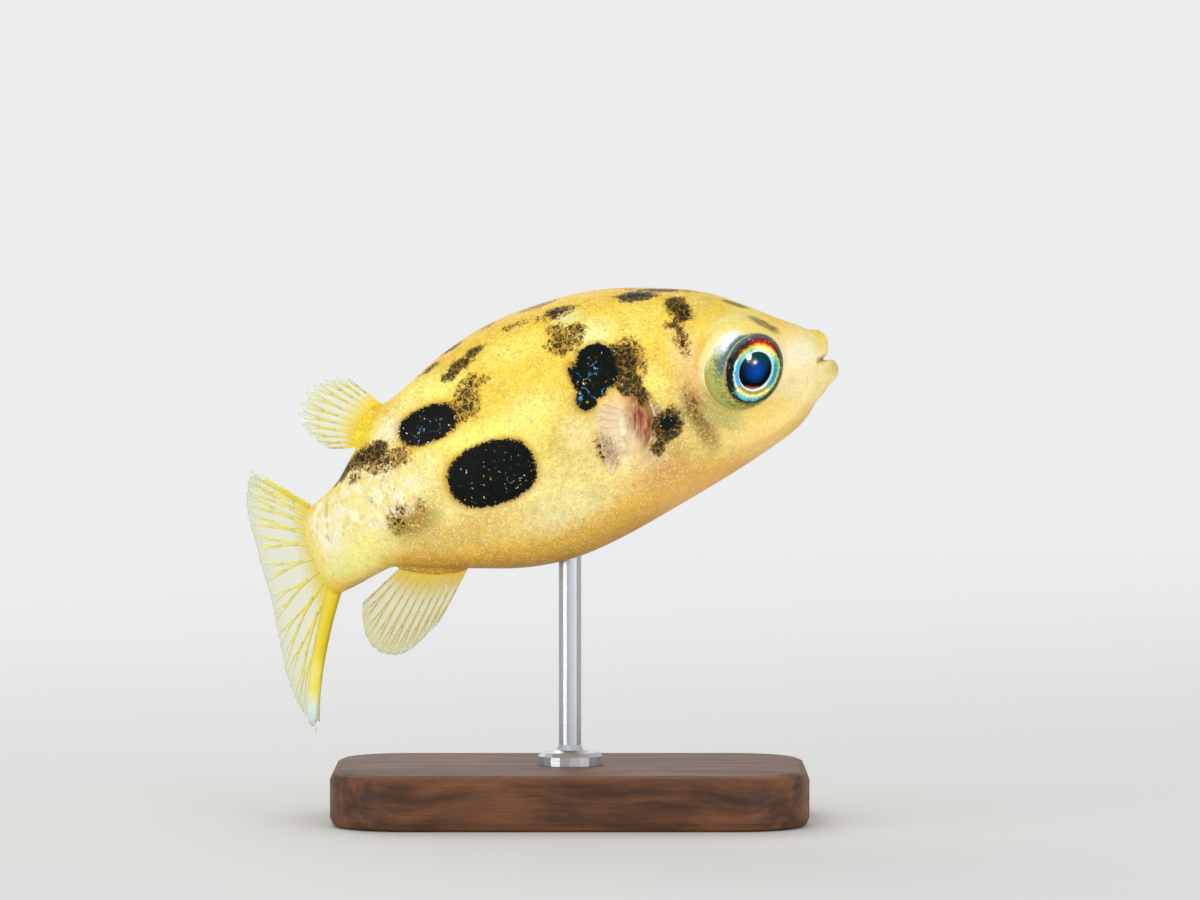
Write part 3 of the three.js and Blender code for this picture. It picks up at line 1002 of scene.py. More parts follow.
@dataclass(frozen=True)
class EyeForm:
    """The place and size of an eye in the fish's frame, in millimetres."""

    along: float = 3.8
    height: float = 1.23
    side: float = 1.85
    radius: float = 1.9
    limbus: float = 1.41  # radius where the clear front begins
    front: float = 2.0  # from the centre to the tip of the clear front
    look: tuple = (0.453, 0.807, -0.379)  # the way the left eye looks
    rim_look: tuple = (0.282, 0.89, -0.356)  # the middle of the skin's opening
    rim_angle: float = math.radians(63.5)  # half of the opening, seen from the centre
    pupil: tuple = (0.8, 0.75)  # half of its length and height

    def centre(self, side: Side) -> np.ndarray:
        """Gives the middle of one eye's globe."""
        return np.array([-self.along, side.value * self.side, self.height])

    def axis(self, side: Side, rim: bool = False) -> np.ndarray:
        """Gives the way one eye looks, or the way its opening faces."""
        axis = np.array(self.rim_look if rim else self.look) * (1, side.value, 1)
        return axis / np.linalg.norm(axis)

    def measure(self, points: np.ndarray, side: Side) -> tuple[np.ndarray, ...]:
        """Measures points from the middle of a globe.

        Args:
            points: Places in the fish's frame.
            side: Which eye.

        Returns:
            The distance of each, its direction, and its angle from the opening's middle.
        """
        away = points - self.centre(side)
        distance = np.linalg.norm(away, axis=1)
        towards = away / np.maximum(distance, WELD)[:, None]
        angle = np.arccos(np.clip(towards @ self.axis(side, rim=True), -1, 1))
        return distance, towards, angle

    def frame(self, side: Side) -> np.ndarray:
        """Gives the eye's own axes.

        Args:
            side: Which eye.

        Returns:
            One row for each axis: forward, up and outward.
        """
        out = self.axis(side)
        up = np.array([0, 0, 1]) - out * out[2]
        up /= np.linalg.norm(up)
        forward = np.array([1.0, 0, 0]) - out * out[0] - up * up[0]
        return np.stack([forward / np.linalg.norm(forward), up, out])


# ---- The skin -------------------------------------------------------------------------


@dataclass(frozen=True)
class Lip:
    """A lip: a bar whose ends sweep back round the snout."""

    along: float
    height: float
    depth: float
    tall: float
    droop: float
    half_width: float = 0.95
    sweep: float = 0.65

    def build(self, form: FishForm) -> bpy.types.Object:
        """Shapes the lip from a round blank.

        Args:
            form: The fish's frame.

        Returns:
            The lip, in the fish's frame.
        """
        piece = ball(48, 28)
        unit = corners_of(piece)
        corners = unit[:, 1] ** 2
        along = self.along + self.sweep * corners - self.depth * unit[:, 0]
        above = self.height + self.droop * corners + self.tall * unit[:, 2]
        move_corners(piece, form.place(along, above, self.half_width * unit[:, 1]))
        return piece


@dataclass
class Skin:
    """The one skin over head, trunk, tail and lips."""

    form: FishForm
    eye: EyeForm
    fins: list["Fin"]
    nose: float = 0.12
    nose_cap: float = 0.4
    tail_end: float = 23.55
    tail_cap: float = 0.75
    tail_height: float = 0.86  # share of the full height that is left at the tail's end
    nostril_place: tuple = (1.62, 1.72, 1.22)  # along, above and to each side
    nostril_size: tuple = (0.16, 0.2, 0.16)
    voxel: float = 0.085
    upper_lip: Lip = Lip(0.56, 0.78, 0.58, 0.6, -0.45)
    lower_lip: Lip = Lip(0.52, -0.37, 0.56, 0.56, 0.3)
    mouth_height: float = 0.1
    mouth_depth: float = 0.36
    crease_depth: float = 0.12
    fold_depth: float = 0.05
    gill_lift: float = 0.13
    gill_depth: float = 0.22
    rim_thickness: float = 0.045
    socket_floor: float = 0.95  # how near the skin comes to the middle of the globe behind it
    lid_reach: float = 3.2  # how far from the globe's middle the lid shapes the skin
    lid_shows: float = 2.7  # how far from there the lid is coloured
    # Lid colours: paler above (partly painted highlight), duller below, and a painted shadow at the
    # lid's rim
    lid_pale_highlight: Colour = srgb(254, 244, 178)
    lid_low: Colour = srgb(190, 178, 102)
    lid_painted_shadow: Colour = srgb(226, 158, 84)

    def trunk(self) -> bpy.types.Object:
        """Shapes the body from a round blank.

        Returns:
            The body from snout to tail root, in the fish's frame.
        """
        piece = ball(80, 150)
        unit = corners_of(piece)
        part = np.arccos(np.clip(unit[:, 2], -1, 1)) / math.pi
        part = (1 - np.cos(math.pi * part)) / 2
        along = self.nose + (self.tail_end - self.nose) * part
        angle = np.arctan2(unit[:, 1], unit[:, 0])
        from_nose = np.clip((along - self.nose) / self.nose_cap, 0, 1)
        from_tail = np.clip((self.tail_end - along) / self.tail_cap, 0, 1)
        front = np.sqrt(1 - (1 - from_nose) ** 2)
        rear = np.sqrt(1 - (1 - from_tail) ** 2)
        low = self.tail_height
        high = front * np.where(rear > 0, low + (1 - low) * rear, 0)
        move_corners(piece, self.form.flesh_point(along, angle, high, front * rear))
        return piece

    def nostril(self, side: Side) -> bpy.types.Object:
        """Shapes one of the small nostril flaps on top of the snout.

        Args:
            side: Which nostril.

        Returns:
            The flap, in the fish's frame.
        """
        piece = ball(20, 14)
        unit = corners_of(piece)
        along, above, left = self.nostril_place
        long, tall, wide = self.nostril_size
        along, above = along - long * unit[:, 0], above + tall * unit[:, 2]
        move_corners(piece, self.form.place(along, above, left * side.value + wide * unit[:, 1]))
        return piece

    def even_out(self, skin: bpy.types.Object, passes: int) -> None:
        """Lays an even net over the skin and smooths it in some passes."""
        apply_modifier(skin, "REMESH", mode="VOXEL", voxel_size=self.voxel)
        apply_modifier(skin, "SMOOTH", factor=0.5, iterations=passes)

    def build(self) -> bpy.types.Object:
        """Builds the skin.

        Returns:
            The finished skin, with its markings as attributes.
        """
        parts = [self.trunk(), self.upper_lip.build(self.form), self.lower_lip.build(self.form)]
        parts += [self.nostril(side) for side in Side]
        parts += [fin.root() for fin in self.fins]
        skin = joined("puffer_skin", parts)
        self.even_out(skin, passes=6)
        for side in Side:
            self.open_eye(skin, side, pull=1.0)
        self.even_out(skin, passes=3)
        self.shape_face(skin)
        for side in Side:
            self.open_eye(skin, side, pull=0.0)
        self.mark(skin)
        skin.data.transform(self.form.matrix())
        return skin

    def open_eye(self, skin: bpy.types.Object, side: Side, pull: float) -> None:
        """Wraps the skin round the front of a globe, with a rolled rim.

        Args:
            skin: The skin, in the fish's frame.
            side: Which eye.
            pull: How strongly the skin round the rim is drawn onto the globe, from 0 to 1.
        """
        eye = self.eye
        points = corners_of(skin)
        distance, towards, angle = eye.measure(points, side)
        outside = side.value * points[:, 1] > 0.2
        rim = eye.rim_angle
        # Angles from the rim, in radians, between which the skin opens, thickens and fades
        open_share = 1 - smooth_step(rim - 0.1, rim + 0.02, angle)
        cover = eye.radius + self.rim_thickness * smooth_step(rim - 0.06, rim + 0.08, angle)
        fade = 1 - smooth_step(rim + 0.15, rim + 0.62, angle)
        lifted = distance + (cover - distance) * fade * pull
        reach = np.where(distance < cover, cover, lifted)
        near = outside & (distance < self.lid_reach)
        target = reach * (1 - open_share) + self.socket_floor * open_share
        new_distance = np.where(near, target, distance)
        move_corners(skin, eye.centre(side) + towards * new_distance[:, None])

    def lighten_lid(self, points: np.ndarray, ground: np.ndarray, side: Side) -> np.ndarray:
        """Lightens the thin skin behind an eye, where the globe shows through and a painted
        highlight runs on from it, and paints shade along the lid's rim.

        Args:
            points: Places on the skin, in the fish's frame.
            ground: The colour of each so far.
            side: Which eye.

        Returns:
            The colour of each.
        """
        distance, towards, angle = self.eye.measure(points, side)
        forward, up, _ = self.eye.frame(side) @ towards.T
        past = angle - self.eye.rim_angle
        share = smooth_step(0.0, 0.5, -forward)
        share = np.where((distance < self.lid_shows) & (points[:, 1] * side.value > 0), share, 0)
        # Paler above, partly painted highlight, and duller below, with a painted shadow where the
        # lid thickens, stronger below
        high = smooth_step(-0.45, 0.1, up)[:, None]
        thin = np.array(self.lid_low) * (1 - high) + np.array(self.lid_pale_highlight) * high
        rim_shadow = (share * 0.7 * bell(past, 0.27, 0.09))[:, None] * (1 - 0.7 * high)
        ground = ground * (1 - rim_shadow) + np.array(self.lid_painted_shadow) * rim_shadow
        cover = (share * 0.8 * (1 - smooth_step(0.1, 0.22, past)))[:, None]
        return ground * (1 - cover) + thin * cover

    def shape_face(self, skin: bpy.types.Object) -> None:
        """Presses in the mouth, the folds round it and the gill slit.

        Args:
            skin: The skin, in the fish's frame.
        """
        points = corners_of(skin)
        outward = corners_of(skin, "normal")
        along, above, left = self.form.locate(points)
        push = np.zeros(len(points))
        side = np.abs(left)
        # The mouth's slit, deepest in the middle of the lips
        slit = self.mouth_height
        mouth = bell(above, slit, 0.1) * (1 - smooth_step(0.7, 1.2, side))
        push -= self.mouth_depth * mouth * (1 - smooth_step(0.5, 0.85, along))
        # The creases behind the two lips
        over, under = 0.54 - 0.28 * (above - slit), 0.56 + 0.45 * (slit - above)
        crease = bell(along, np.where(above > slit, over, under), 0.09)
        crease *= smooth_step(-1.3, -0.9, above) * (1 - smooth_step(0.9, 1.3, above))
        crease *= self.crease_depth
        push -= crease * smooth_step(0.1, 0.6, side) * (1 - smooth_step(1.1, 1.4, side))
        # A fold behind the eye
        around = np.hypot(along - self.eye.along, above - self.eye.height)
        behind = smooth_step(4.2, 5.2, along)
        push -= self.fold_depth * behind * bell(around, 1.95, 0.1)
        push += self.fold_depth * behind * bell(around, 2.2, 0.16)
        # The gill cover's soft edge, with the slit behind it
        past, reach = self.behind_gill(along, above)
        lip, gap = bell(past, -0.12, 0.16), bell(past, 0.16, 0.1)
        push += reach * (self.gill_lift * lip - self.gill_depth * gap)
        on_side = smooth_step(1.5, 2.4, side)
        gill = np.where((along > 6) & (along < 10), on_side, 1)
        move_corners(skin, points + outward * (push * gill)[:, None])

    @staticmethod
    def behind_gill(along: np.ndarray, above: np.ndarray) -> tuple[np.ndarray, np.ndarray]:
        """Measures how far behind the gill's edge places are, and its slit's reach."""
        past = along - (7.5 + 0.42 * (above - 0.72) ** 2)
        return past, smooth_step(-1.05, -0.5, above) * (1 - smooth_step(1.1, 1.5, above))

    def mark(self, skin: bpy.types.Object) -> None:
        """Writes the ground colour and the markings on the skin.

        Args:
            skin: The skin, in the fish's frame.
        """
        markings = Markings(self.form)
        along, above, left = self.form.locate(corners_of(skin))
        for mark, depth in markings.fields(along, above, left).items():
            write_attribute(skin, mark.value, depth)
        ground = markings.ground(along, above)
        for side in Side:
            ground = self.lighten_lid(corners_of(skin), ground, side)
        write_attribute(skin, "ground", ground)
        past, reach = self.behind_gill(along, above)
        write_attribute(skin, "gill", np.abs(past) + 2.0 * (1 - reach))


# ---- Fins -----------------------------------------------------------------------------


@dataclass(frozen=True)
class Fin:
    """A fan of rays with a membrane between them, in the fish's frame.

    A row holds a place across the fan, and there: how far along the body a ray leaves it,
    the ray's swing to the left of straight back and its rise in degrees, its length, and
    how far above the midline it leaves, where the body's outline does not say.
    """

    form: FishForm
    name: str
    rays: int
    rows: tuple
    curl: float = 0.0
    bow: float = 0.0
    edge: Edge = Edge.MIDDLE
    side: Side = Side.LEFT
    gap: float = 0.22
    root_out: float = 0.05
    root_reach: float = 0.16
    root_thickness: float = 0.22

    def base(self, along: np.ndarray, above: np.ndarray) -> np.ndarray:
        """Finds where rays leave the body.

        Args:
            along: Their distances from the snout.
            above: Their heights, where the body's outline does not give them.

        Returns:
            One point for each.
        """
        back, belly, _, half = self.form.outline(along)
        left = np.zeros_like(along)
        if self.edge is Edge.BACK:
            above = back + self.gap
        elif self.edge is Edge.BELLY:
            above = belly - self.gap
        elif self.edge is Edge.SIDE:
            left = self.side.value * (half + self.gap)
        return self.form.place(along, above, left)

    def surface(self, across: np.ndarray, out: np.ndarray) -> np.ndarray:
        """Finds points of the fin.

        Args:
            across: Places across the fan, from 0 to 1.
            out: Places along the rays, 0 at the root and 1 at the tip.

        Returns:
            One point for each.
        """
        values = read_rows(self.rows, across)
        along, swing, rise, length = values[:, 0], values[:, 1], values[:, 2], values[:, 3]
        above = values[:, 4] if values.shape[1] > 4 else np.zeros_like(along)
        place = self.base(along, above)
        yaw, lift = np.radians(swing), np.radians(rise)
        ray = np.stack([-np.cos(lift) * np.cos(yaw), np.cos(lift) * np.sin(yaw), np.sin(lift)], 1)
        curl = np.stack([np.sin(yaw), np.cos(yaw), 0 * yaw], 1) * (self.curl * out**2)[:, None]
        place[:, 0] -= self.bow * across**2 * 4 * out * (1 - out)
        return place + ray * (length * out)[:, None] + curl

    def facing(self, across: np.ndarray, out: np.ndarray) -> np.ndarray:
        """Finds the direction square to the fin at places on it.

        Args:
            across: Places across the fan, from 0 to 1.
            out: Places along the rays, 0 at the root and 1 at the tip.

        Returns:
            One direction for each, of length 1.
        """
        step = 0.002
        before = np.clip(across - step, 0, 1)
        after = np.clip(across + step, 0, 1)
        sideways = self.surface(after, out) - self.surface(before, out)
        outward = self.surface(across, out + step) - self.surface(across, out)
        normal = np.cross(sideways, outward)
        return normal / np.maximum(np.linalg.norm(normal, axis=1), 1e-9)[:, None]

    def root(self) -> bpy.types.Object:
        """Shapes the fleshy pad at the fin's base from a round blank.

        Returns:
            The pad, in the fish's frame.
        """
        piece = ball(56, 28)
        unit = corners_of(piece)
        across = 0.5 + 0.53 * unit[:, 0]
        inside = np.clip(across, 0, 1)
        out = self.root_out + self.root_reach * unit[:, 2]
        point = self.surface(inside, out)
        step = 0.01
        edge = self.surface(inside - step, out) - point
        point += edge * ((inside - across) / step)[:, None]
        normal = self.facing(inside, out)
        move_corners(piece, point + normal * (self.root_thickness * unit[:, 1])[:, None])
        return piece


def fins(form: FishForm) -> list[Fin]:
    """Lists the fish's fins.

    Args:
        form: The fish that they grow on.

    Returns:
        The dorsal, anal, caudal and both pectoral fins.
    """
    dorsal = Fin(
        form,
        "dorsal_fin",
        11,
        (
            (0, 17.7, 10, 57, 1.5),
            (0.25, 18.1, 12, 49, 2.45),
            (0.5, 18.55, 14, 37, 2.75),
            (0.75, 18.95, 17, 24, 2.3),
            (1, 19.35, 20, 12, 1.1),
        ),
        curl=0.25,
        edge=Edge.BACK,
        root_out=-0.03,
        root_reach=0.13,
        root_thickness=0.2,
    )
    anal = Fin(
        form,
        "anal_fin",
        11,
        (
            (0, 16.9, 8, -42, 2.2),
            (0.25, 17.55, 10, -43.5, 3.45),
            (0.5, 18.2, 12, -42, 3.75),
            (0.75, 18.85, 15, -37, 3.4),
            (1, 19.5, 19, -22, 1.9),
        ),
        curl=-0.3,
        edge=Edge.BELLY,
        root_out=-0.04,
        root_reach=0.08,
        root_thickness=0.18,
    )
    caudal = Fin(
        form,
        "caudal_fin",
        12,
        (
            (0, 22.55, 66, 24, 5.5, 1.7),
            (0.25, 23.25, 64, 16, 5.8, 0.86),
            (0.5, 23.4, 62.5, 4.5, 5.7, 0),
            (0.75, 23.35, 57, -16, 5.65, -0.94),
            (1, 23.3, 38, -56, 6.3, -1.82),
        ),
        bow=0.22,
        root_out=-0.02,
        root_reach=0.09,
        root_thickness=0.2,
    )
    pectorals = [
        Fin(
            form,
            "pectoral_fin_left" if side is Side.LEFT else "pectoral_fin_right",
            9,
            (
                (0, 8.62, 64 * side.value, 16, 2.45, 1.15),
                (0.25, 8.8, 64 * side.value, 11, 2.9, 0.75),
                (0.5, 8.95, 65 * side.value, 3, 3.05, 0.3),
                (0.75, 9.1, 64 * side.value, -8, 2.85, -0.15),
                (1, 9.25, 62 * side.value, -18, 2.4, -0.55),
            ),
            curl=0.35 * side.value,
            edge=Edge.SIDE,
            side=side,
            gap=0.2,
            root_out=-0.06,
            root_reach=0.16,
            root_thickness=0.24,
        )
        for side in Side
    ]
    return [dorsal, anal, caudal, *pectorals]


@dataclass
class FinWeb:
    """The visible fin: a thin clear web, and its branching rays."""

    fin: Fin
    web_thickness: float = 0.05
    web_rows: int = 44
    columns_to_a_ray: int = 8
    notch: float = 0.07  # how far the web falls back between two rays
    pleat: float = 0.035
    stem_radius: float = 0.055
    edge_bars: tuple = ()  # thick edges: the ray, radii at root and tip, and flatness
    first_fork: float = 0.42
    second_fork: float = 0.68
    parted: float = 1.05  # where the two branches of a ray are fully apart
    twigs_parted: float = 1.05
    branch_spread: float = 0.26  # as shares of the gap between two rays
    twig_spread: float = 0.13
    corner: float = 0.06  # how wide the rounding of the web's corners is
    joints: int = 9  # swellings on half of a ray's length
    cap: float = 0.05  # share of a thick edge that its rounded end takes
    held: tuple = ((0, 0.45, 0.6, 0.75, 1), (0, 0.06, 0.5, 0.82, 1.1))  # its colours' places
    sunk: float = -0.12  # where the web and the thick edges start, inside the body
    bar_steps: int = 14
    bar_sides: int = 6
    parting: float = 0.0  # how much wider the gap between the two middle rays is
    overrun: float = 1.0  # how far out the web and rays reach
    rounding: float = 0.0  # how far the web's two corners fall back

    def spread(self, share: np.ndarray | float) -> np.ndarray | float:
        """Moves places across the fan away from its middle, where the rays part."""
        return share - self.parting * np.sin(2 * math.pi * share) / (2 * math.pi)

    def web(self) -> bpy.types.Object:
        """Builds the web from a flat grid.

        Returns:
            The web, in the fish's frame, with its places on the way out as an attribute.
        """
        gaps = self.fin.rays - 1
        columns = gaps * self.columns_to_a_ray
        bpy.ops.mesh.primitive_grid_add(
            x_subdivisions=columns, y_subdivisions=self.web_rows, size=2
        )
        piece = bpy.context.object
        unit = (corners_of(piece)[:, :2] + 1) / 2
        column, out = unit[:, 0] * gaps, unit[:, 1]
        across = self.spread(unit[:, 0])
        between = np.abs(np.sin(math.pi * column))
        torn = 0.35 + 0.65 * np.abs(np.sin(5.3 * column + 1.7))
        corner = bell(np.minimum(unit[:, 0], 1 - unit[:, 0]), 0, self.corner)
        reach = self.overrun - self.notch * between * torn - self.rounding * corner
        out = self.sunk + (reach - self.sunk) * out
        point = self.fin.surface(across, out)
        fold = np.cos(2 * math.pi * column) * self.pleat * np.clip(out, 0, 1)
        move_corners(piece, point + self.fin.facing(across, out) * fold[:, None])
        write_attribute(piece, "out", out)
        apply_modifier(piece, "SOLIDIFY", thickness=self.web_thickness, offset=0)
        return piece

    def blank(self) -> bpy.types.Object:
        """Extrudes a straight bar of length 1 and radius 1, to be bent into a ray.

        Returns:
            The bar.
        """
        bpy.ops.mesh.primitive_circle_add(vertices=self.bar_sides, radius=1, fill_type="NGON")
        piece = bpy.context.object
        move = {"value": (0, 0, 1 / self.bar_steps)}
        with editing(piece):
            for _ in range(self.bar_steps):
                bpy.ops.mesh.extrude_region_move(TRANSFORM_OT_translate=move)
        tidy_shell(piece)
        return piece

    def strand(
        self,
        blank: bpy.types.Object,
        ray: float,
        fork: tuple[int, int],
        span: tuple[float, float],
        radii: tuple[float, float],
        flat: float = 1.0,
    ) -> bpy.types.Object:
        """Bends a copy of the bar into one length of a ray.

        Args:
            blank: The straight bar.
            ray: Which ray, from 0.
            fork: The sides, -1 or 1, of its branch and twig, and 0 before the fork.
            span: Where the length starts and ends on the way out.
            radii: Its thickness at both ends.
            flat: How much wider than thick it is.

        Returns:
            The length of ray, in the fish's frame.
        """
        piece = copied(blank)
        unit = corners_of(piece)
        share = np.clip(unit[:, 2], 0, 1)
        out = span[0] + (span[1] - span[0]) * share
        gap = 1 / (self.fin.rays - 1)
        # Each fork opens from just before its own place
        first, second = self.first_fork - 0.05, self.second_fork - 0.05
        branch = fork[0] * self.branch_spread * gap * smooth_step(first, self.parted, out)
        twig = fork[1] * self.twig_spread * gap * smooth_step(second, self.twigs_parted, out)
        across = np.clip(self.spread(ray / (self.fin.rays - 1)) + branch + twig, 0, 1)
        point = self.fin.surface(across, out)
        normal = self.fin.facing(across, out)
        ahead = self.fin.surface(across, out + 0.004) - self.fin.surface(across, out - 0.004)
        ahead /= np.linalg.norm(ahead, axis=1)[:, None]
        sideways = np.cross(normal, ahead)
        radius = radii[0] + (radii[1] - radii[0]) * share
        if flat > 1:
            # A thick edge has a rounded end
            end = np.clip(share - (1 - self.cap), 0, self.cap) / (1.05 * self.cap)
            radius = radius * np.sqrt(1 - end**2)
        else:
            radius = radius * (1 + 0.1 * np.cos(4 * math.pi * self.joints * out))
        offset = flat * sideways * unit[:, :1] + normal * unit[:, 1:2]
        move_corners(piece, point + offset * radius[:, None])
        write_attribute(piece, "out", out)
        write_attribute(piece, "tick", out)
        return piece

    def ray_set(self) -> bpy.types.Object:
        """Builds all of the fin's rays, each forking twice on its way out.

        Returns:
            The rays as one piece, in the fish's frame.
        """
        blank = self.blank()
        first, second = self.first_fork, self.second_fork
        strands = []
        stem = self.stem_radius
        middle, fine, tip = 0.65 * stem + 0.01, 0.45 * stem + 0.008, 0.01 + 0.15 * stem
        for ray in range(self.fin.rays):
            lean = 0.03 * math.sin(2.1 * ray)
            span = (self.sunk - 0.02, first + 0.02)
            strands.append(self.strand(blank, ray, (0, 0), span, (stem, middle)))
            for branch in (-1, 1):
                span = (first, second + lean + 0.02)
                strands.append(self.strand(blank, ray, (branch, 0), span, (middle, fine)))
                for twig in (-1, 1):
                    end = self.overrun + 0.012 * math.sin(3.7 * ray + 1.9 * branch + 0.8 * twig)
                    end -= self.rounding if ray in (0, self.fin.rays - 1) else 0
                    span = (second + lean, end)
                    strands.append(self.strand(blank, ray, (branch, twig), span, (fine, tip)))
        strands += [self.edge_bar(blank, *bar) for bar in self.edge_bars]
        bpy.data.objects.remove(blank)
        return joined(self.fin.name + "_rays", strands)

    def edge_bar(
        self, blank: bpy.types.Object, ray: float, root: float, tip: float, flat: float
    ) -> bpy.types.Object:
        """Bends a copy of the bar into a thick fleshy edge.

        Args:
            blank: The straight bar.
            ray: The place across the fan that it follows, counted in rays.
            root: Its radius at the root.
            tip: Its radius at the tip.
            flat: How much wider than thick it is.

        Returns:
            The edge, whose place out is held back so that it stays yellow for longer.
        """
        span = (self.sunk, self.overrun - 0.01)
        piece = self.strand(blank, ray, (0, 0), span, (root, tip), flat)
        places = np.empty(len(piece.data.vertices))
        out = piece.data.attributes["out"].data
        out.foreach_get("value", places)
        out.foreach_set("value", np.interp(places, *self.held))
        piece.data.attributes["tick"].data.foreach_set("value", 0 * places)
        return piece

    def build(self, finishes: "FinFinish") -> list[bpy.types.Object]:
        """Builds and dresses the fin.

        Args:
            finishes: The fin's materials.

        Returns:
            The web and the rays.
        """
        web = self.web()
        web.name = self.fin.name + "_web"
        rays = self.ray_set()
        for piece, material in ((web, finishes.web()), (rays, finishes.rays())):
            piece.data.transform(self.fin.form.matrix())
            dress(piece, material)
            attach(piece, BODY)
            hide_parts(self.fin.name)
        return [web, rays]


# ---- Finishes -------------------------------------------------------------------------


@dataclass(frozen=True)
class SkinFinish:
    """The colours of wet skin: golden ground, black and brown pigment, pale specks."""

    black: Colour = srgb(5, 12, 11)
    black_warm: Colour = srgb(38, 38, 22)
    brown: Colour = srgb(108, 80, 34)
    brown_dark: Colour = srgb(36, 30, 18)
    olive: Colour = srgb(86, 82, 38)
    halo: Colour = srgb(168, 112, 28)
    rust: Colour = srgb(190, 114, 76)
    plum: Colour = srgb(130, 70, 60)
    pearl: Colour = srgb(255, 251, 220)
    ash: Colour = srgb(128, 118, 92)
    amber: Colour = srgb(232, 174, 66)
    gold: Colour = srgb(226, 178, 70)
    lemon: Colour = srgb(255, 244, 184)
    teal: Colour = srgb(22, 96, 140)
    ice: Colour = srgb(196, 232, 244)


class SkinPaint:
    """The skin's colour, built up in layers that share a few noises."""

    def __init__(self, tones: SkinFinish) -> None:
        """Starts from the ground colour, made uneven.

        Args:
            tones: The colours to lay on it.
        """
        self.tones = tones
        self.r = Recipe("puffer_skin")
        self.place = self.r.millimetres()
        self.grain = self.r.noise(self.place, 3.0, 4, 0.6)
        self.fine = self.r.noise(self.place, 11.0, 4, 0.65)
        self.cells = self.r.noise(self.place, 7.5, 3, 0.7)
        self.busy = 1 - 0.5 * self.r.attribute(Mark.PLAIN.value).step(-0.6, 1.2)
        self.depth = self.ragged(Mark.BLACK, 0.2, 0.4)
        uneven = 0.25 * (self.r.noise(self.place, 0.8, 3) - 0.5)
        uneven = uneven + 0.7 * (self.grain - 0.5) + 0.3 * (self.fine - 0.5)
        self.colour = self.r.times(self.r.attribute("ground", "Color"), 0.98 + self.busy * uneven)

    def ragged(self, mark: Mark, grain: float, fine: float) -> Wire:
        """Gives the depth inside a marking, with an edge roughened by both noises."""
        rough = (self.grain - 0.5) * grain + (self.fine - 0.5) * fine
        return self.r.attribute(mark.value) + rough

    def lay(self, share: Wire, tone: Wire | Colour) -> None:
        """Mixes a share of a tone over the colour so far."""
        self.colour = self.r.mix(share, self.colour, tone)

    def add_pearl(self) -> None:
        """Adds whitish flecks and fine grey strokes."""
        r, tones = self.r, self.tones
        depth = r.attribute(Mark.PEARL.value).step(-0.1, 0.8)
        strokes = r.noise(r.millimetres((2.2, 2.2, 0.9)), 1.7, 3, 0.6)
        clouds = r.noise(self.place, 1.9, 3, 0.65)
        self.lay(depth * clouds.step(0.44, 0.6) * 0.8, tones.pearl)
        self.lay(depth * self.cells.step(0.5, 0.6) * 0.5, tones.pearl)
        self.lay(depth * strokes.step(0.57, 0.68) * 0.4, tones.ash)
        self.lay(depth * r.flecks(self.place, 2.2, 0.3, 0.4) * 0.8, tones.pearl)

    def add_streak(self) -> None:
        """Adds the smooth olive streaks over and behind the eye, darker at their edge."""
        depth = self.ragged(Mark.STREAK, 0.22, 0.12)
        tone = self.r.mix(depth.step(0.02, 0.12), self.tones.brown_dark, self.tones.olive)
        self.lay(depth.step(-0.08, 0.06) * (0.35 + 0.75 * self.fine), tone)

    def add_gill(self) -> None:
        """Adds the purplish red behind the gill cover and the cover's white edge."""
        r, tones, grain = self.r, self.tones, self.grain
        depth = self.ragged(Mark.RUST, 0.4, 0.3)
        strokes = r.noise(r.millimetres((4.0, 4.0, 1.2)), 2.2, 3, 0.6)
        tone = r.mix(strokes.step(0.3, 0.72), tones.rust, tones.plum)
        self.lay(depth.step(-0.35, 0.4) * (0.6 + 0.5 * strokes.step(0.25, 0.6)), tone)
        line = 1 - (r.attribute("gill") + (grain - 0.5) * 0.1).step(0.02, 0.07)
        self.lay(line * grain.step(0.36, 0.5) * 0.85, tones.pearl)

    def add_pigment(self, mark: Mark, least: float) -> None:
        """Adds broken brown pigment with golden threads through it.

        Args:
            mark: Which kind of marking.
            least: The least noise that shows pigment; less makes it denser.
        """
        r, tones = self.r, self.tones
        grain = r.noise(self.place, 2.6, 3, 0.6)
        net = r.noise(self.place, 6.5, 3, 0.8)
        depth = r.attribute(mark.value) + (grain - 0.5) * 0.5 + (net - 0.5) * 0.5
        broken = (net + depth.step(0.0, 0.4) * 0.1).step(least, least + 0.08)
        tone = r.mix((grain - (0.47 - least)).step(0.42, 0.6), tones.brown_dark, tones.brown)
        tone = r.mix(depth.step(0.25, 0.6) * 0.6, tone, tones.brown_dark)
        threads = r.cracks(self.place, 3.4, 0.12) * net.step(0.42, 0.54)
        tone = r.mix(threads * (3 * least - 0.62), tone, tones.gold)
        self.lay(depth.step(-0.15, 0.15) * 0.32, tones.halo)
        self.lay(depth.step(-0.06, 0.1) * broken * 0.95, tone)

    def add_black(self) -> None:
        """Adds the black blotches with their specks and blue threads."""
        r, tones, place, fine = self.r, self.tones, self.place, self.fine
        tone = r.mix(fine.step(0.5, 0.68) * 0.6, tones.black, tones.black_warm)
        for scale, radius, share, strength, speck in (
            (5.0, 0.19, 0.22, 0.8, tones.gold),
            (4.3, 0.18, 0.26, 0.95, tones.lemon),
            (4.6, 0.18, 0.24, 0.9, tones.ice),
        ):
            tone = r.mix(r.flecks(place, scale, radius, share) * strength, tone, speck)
        jewel = r.attribute(Mark.JEWEL.value).step(0.0, 0.4)
        threads = r.cracks(place, 1.2, 0.055) * self.grain.step(0.48, 0.56)
        blue = r.mix(fine.step(0.54, 0.66), tones.teal, tones.ice)
        tone = r.mix(jewel * threads, tone, blue)
        tone = r.mix(jewel * r.flecks(place, 3.4, 0.2, 0.35), tone, tones.ice)
        self.lay(self.depth.step(-0.03, 0.05), tone)

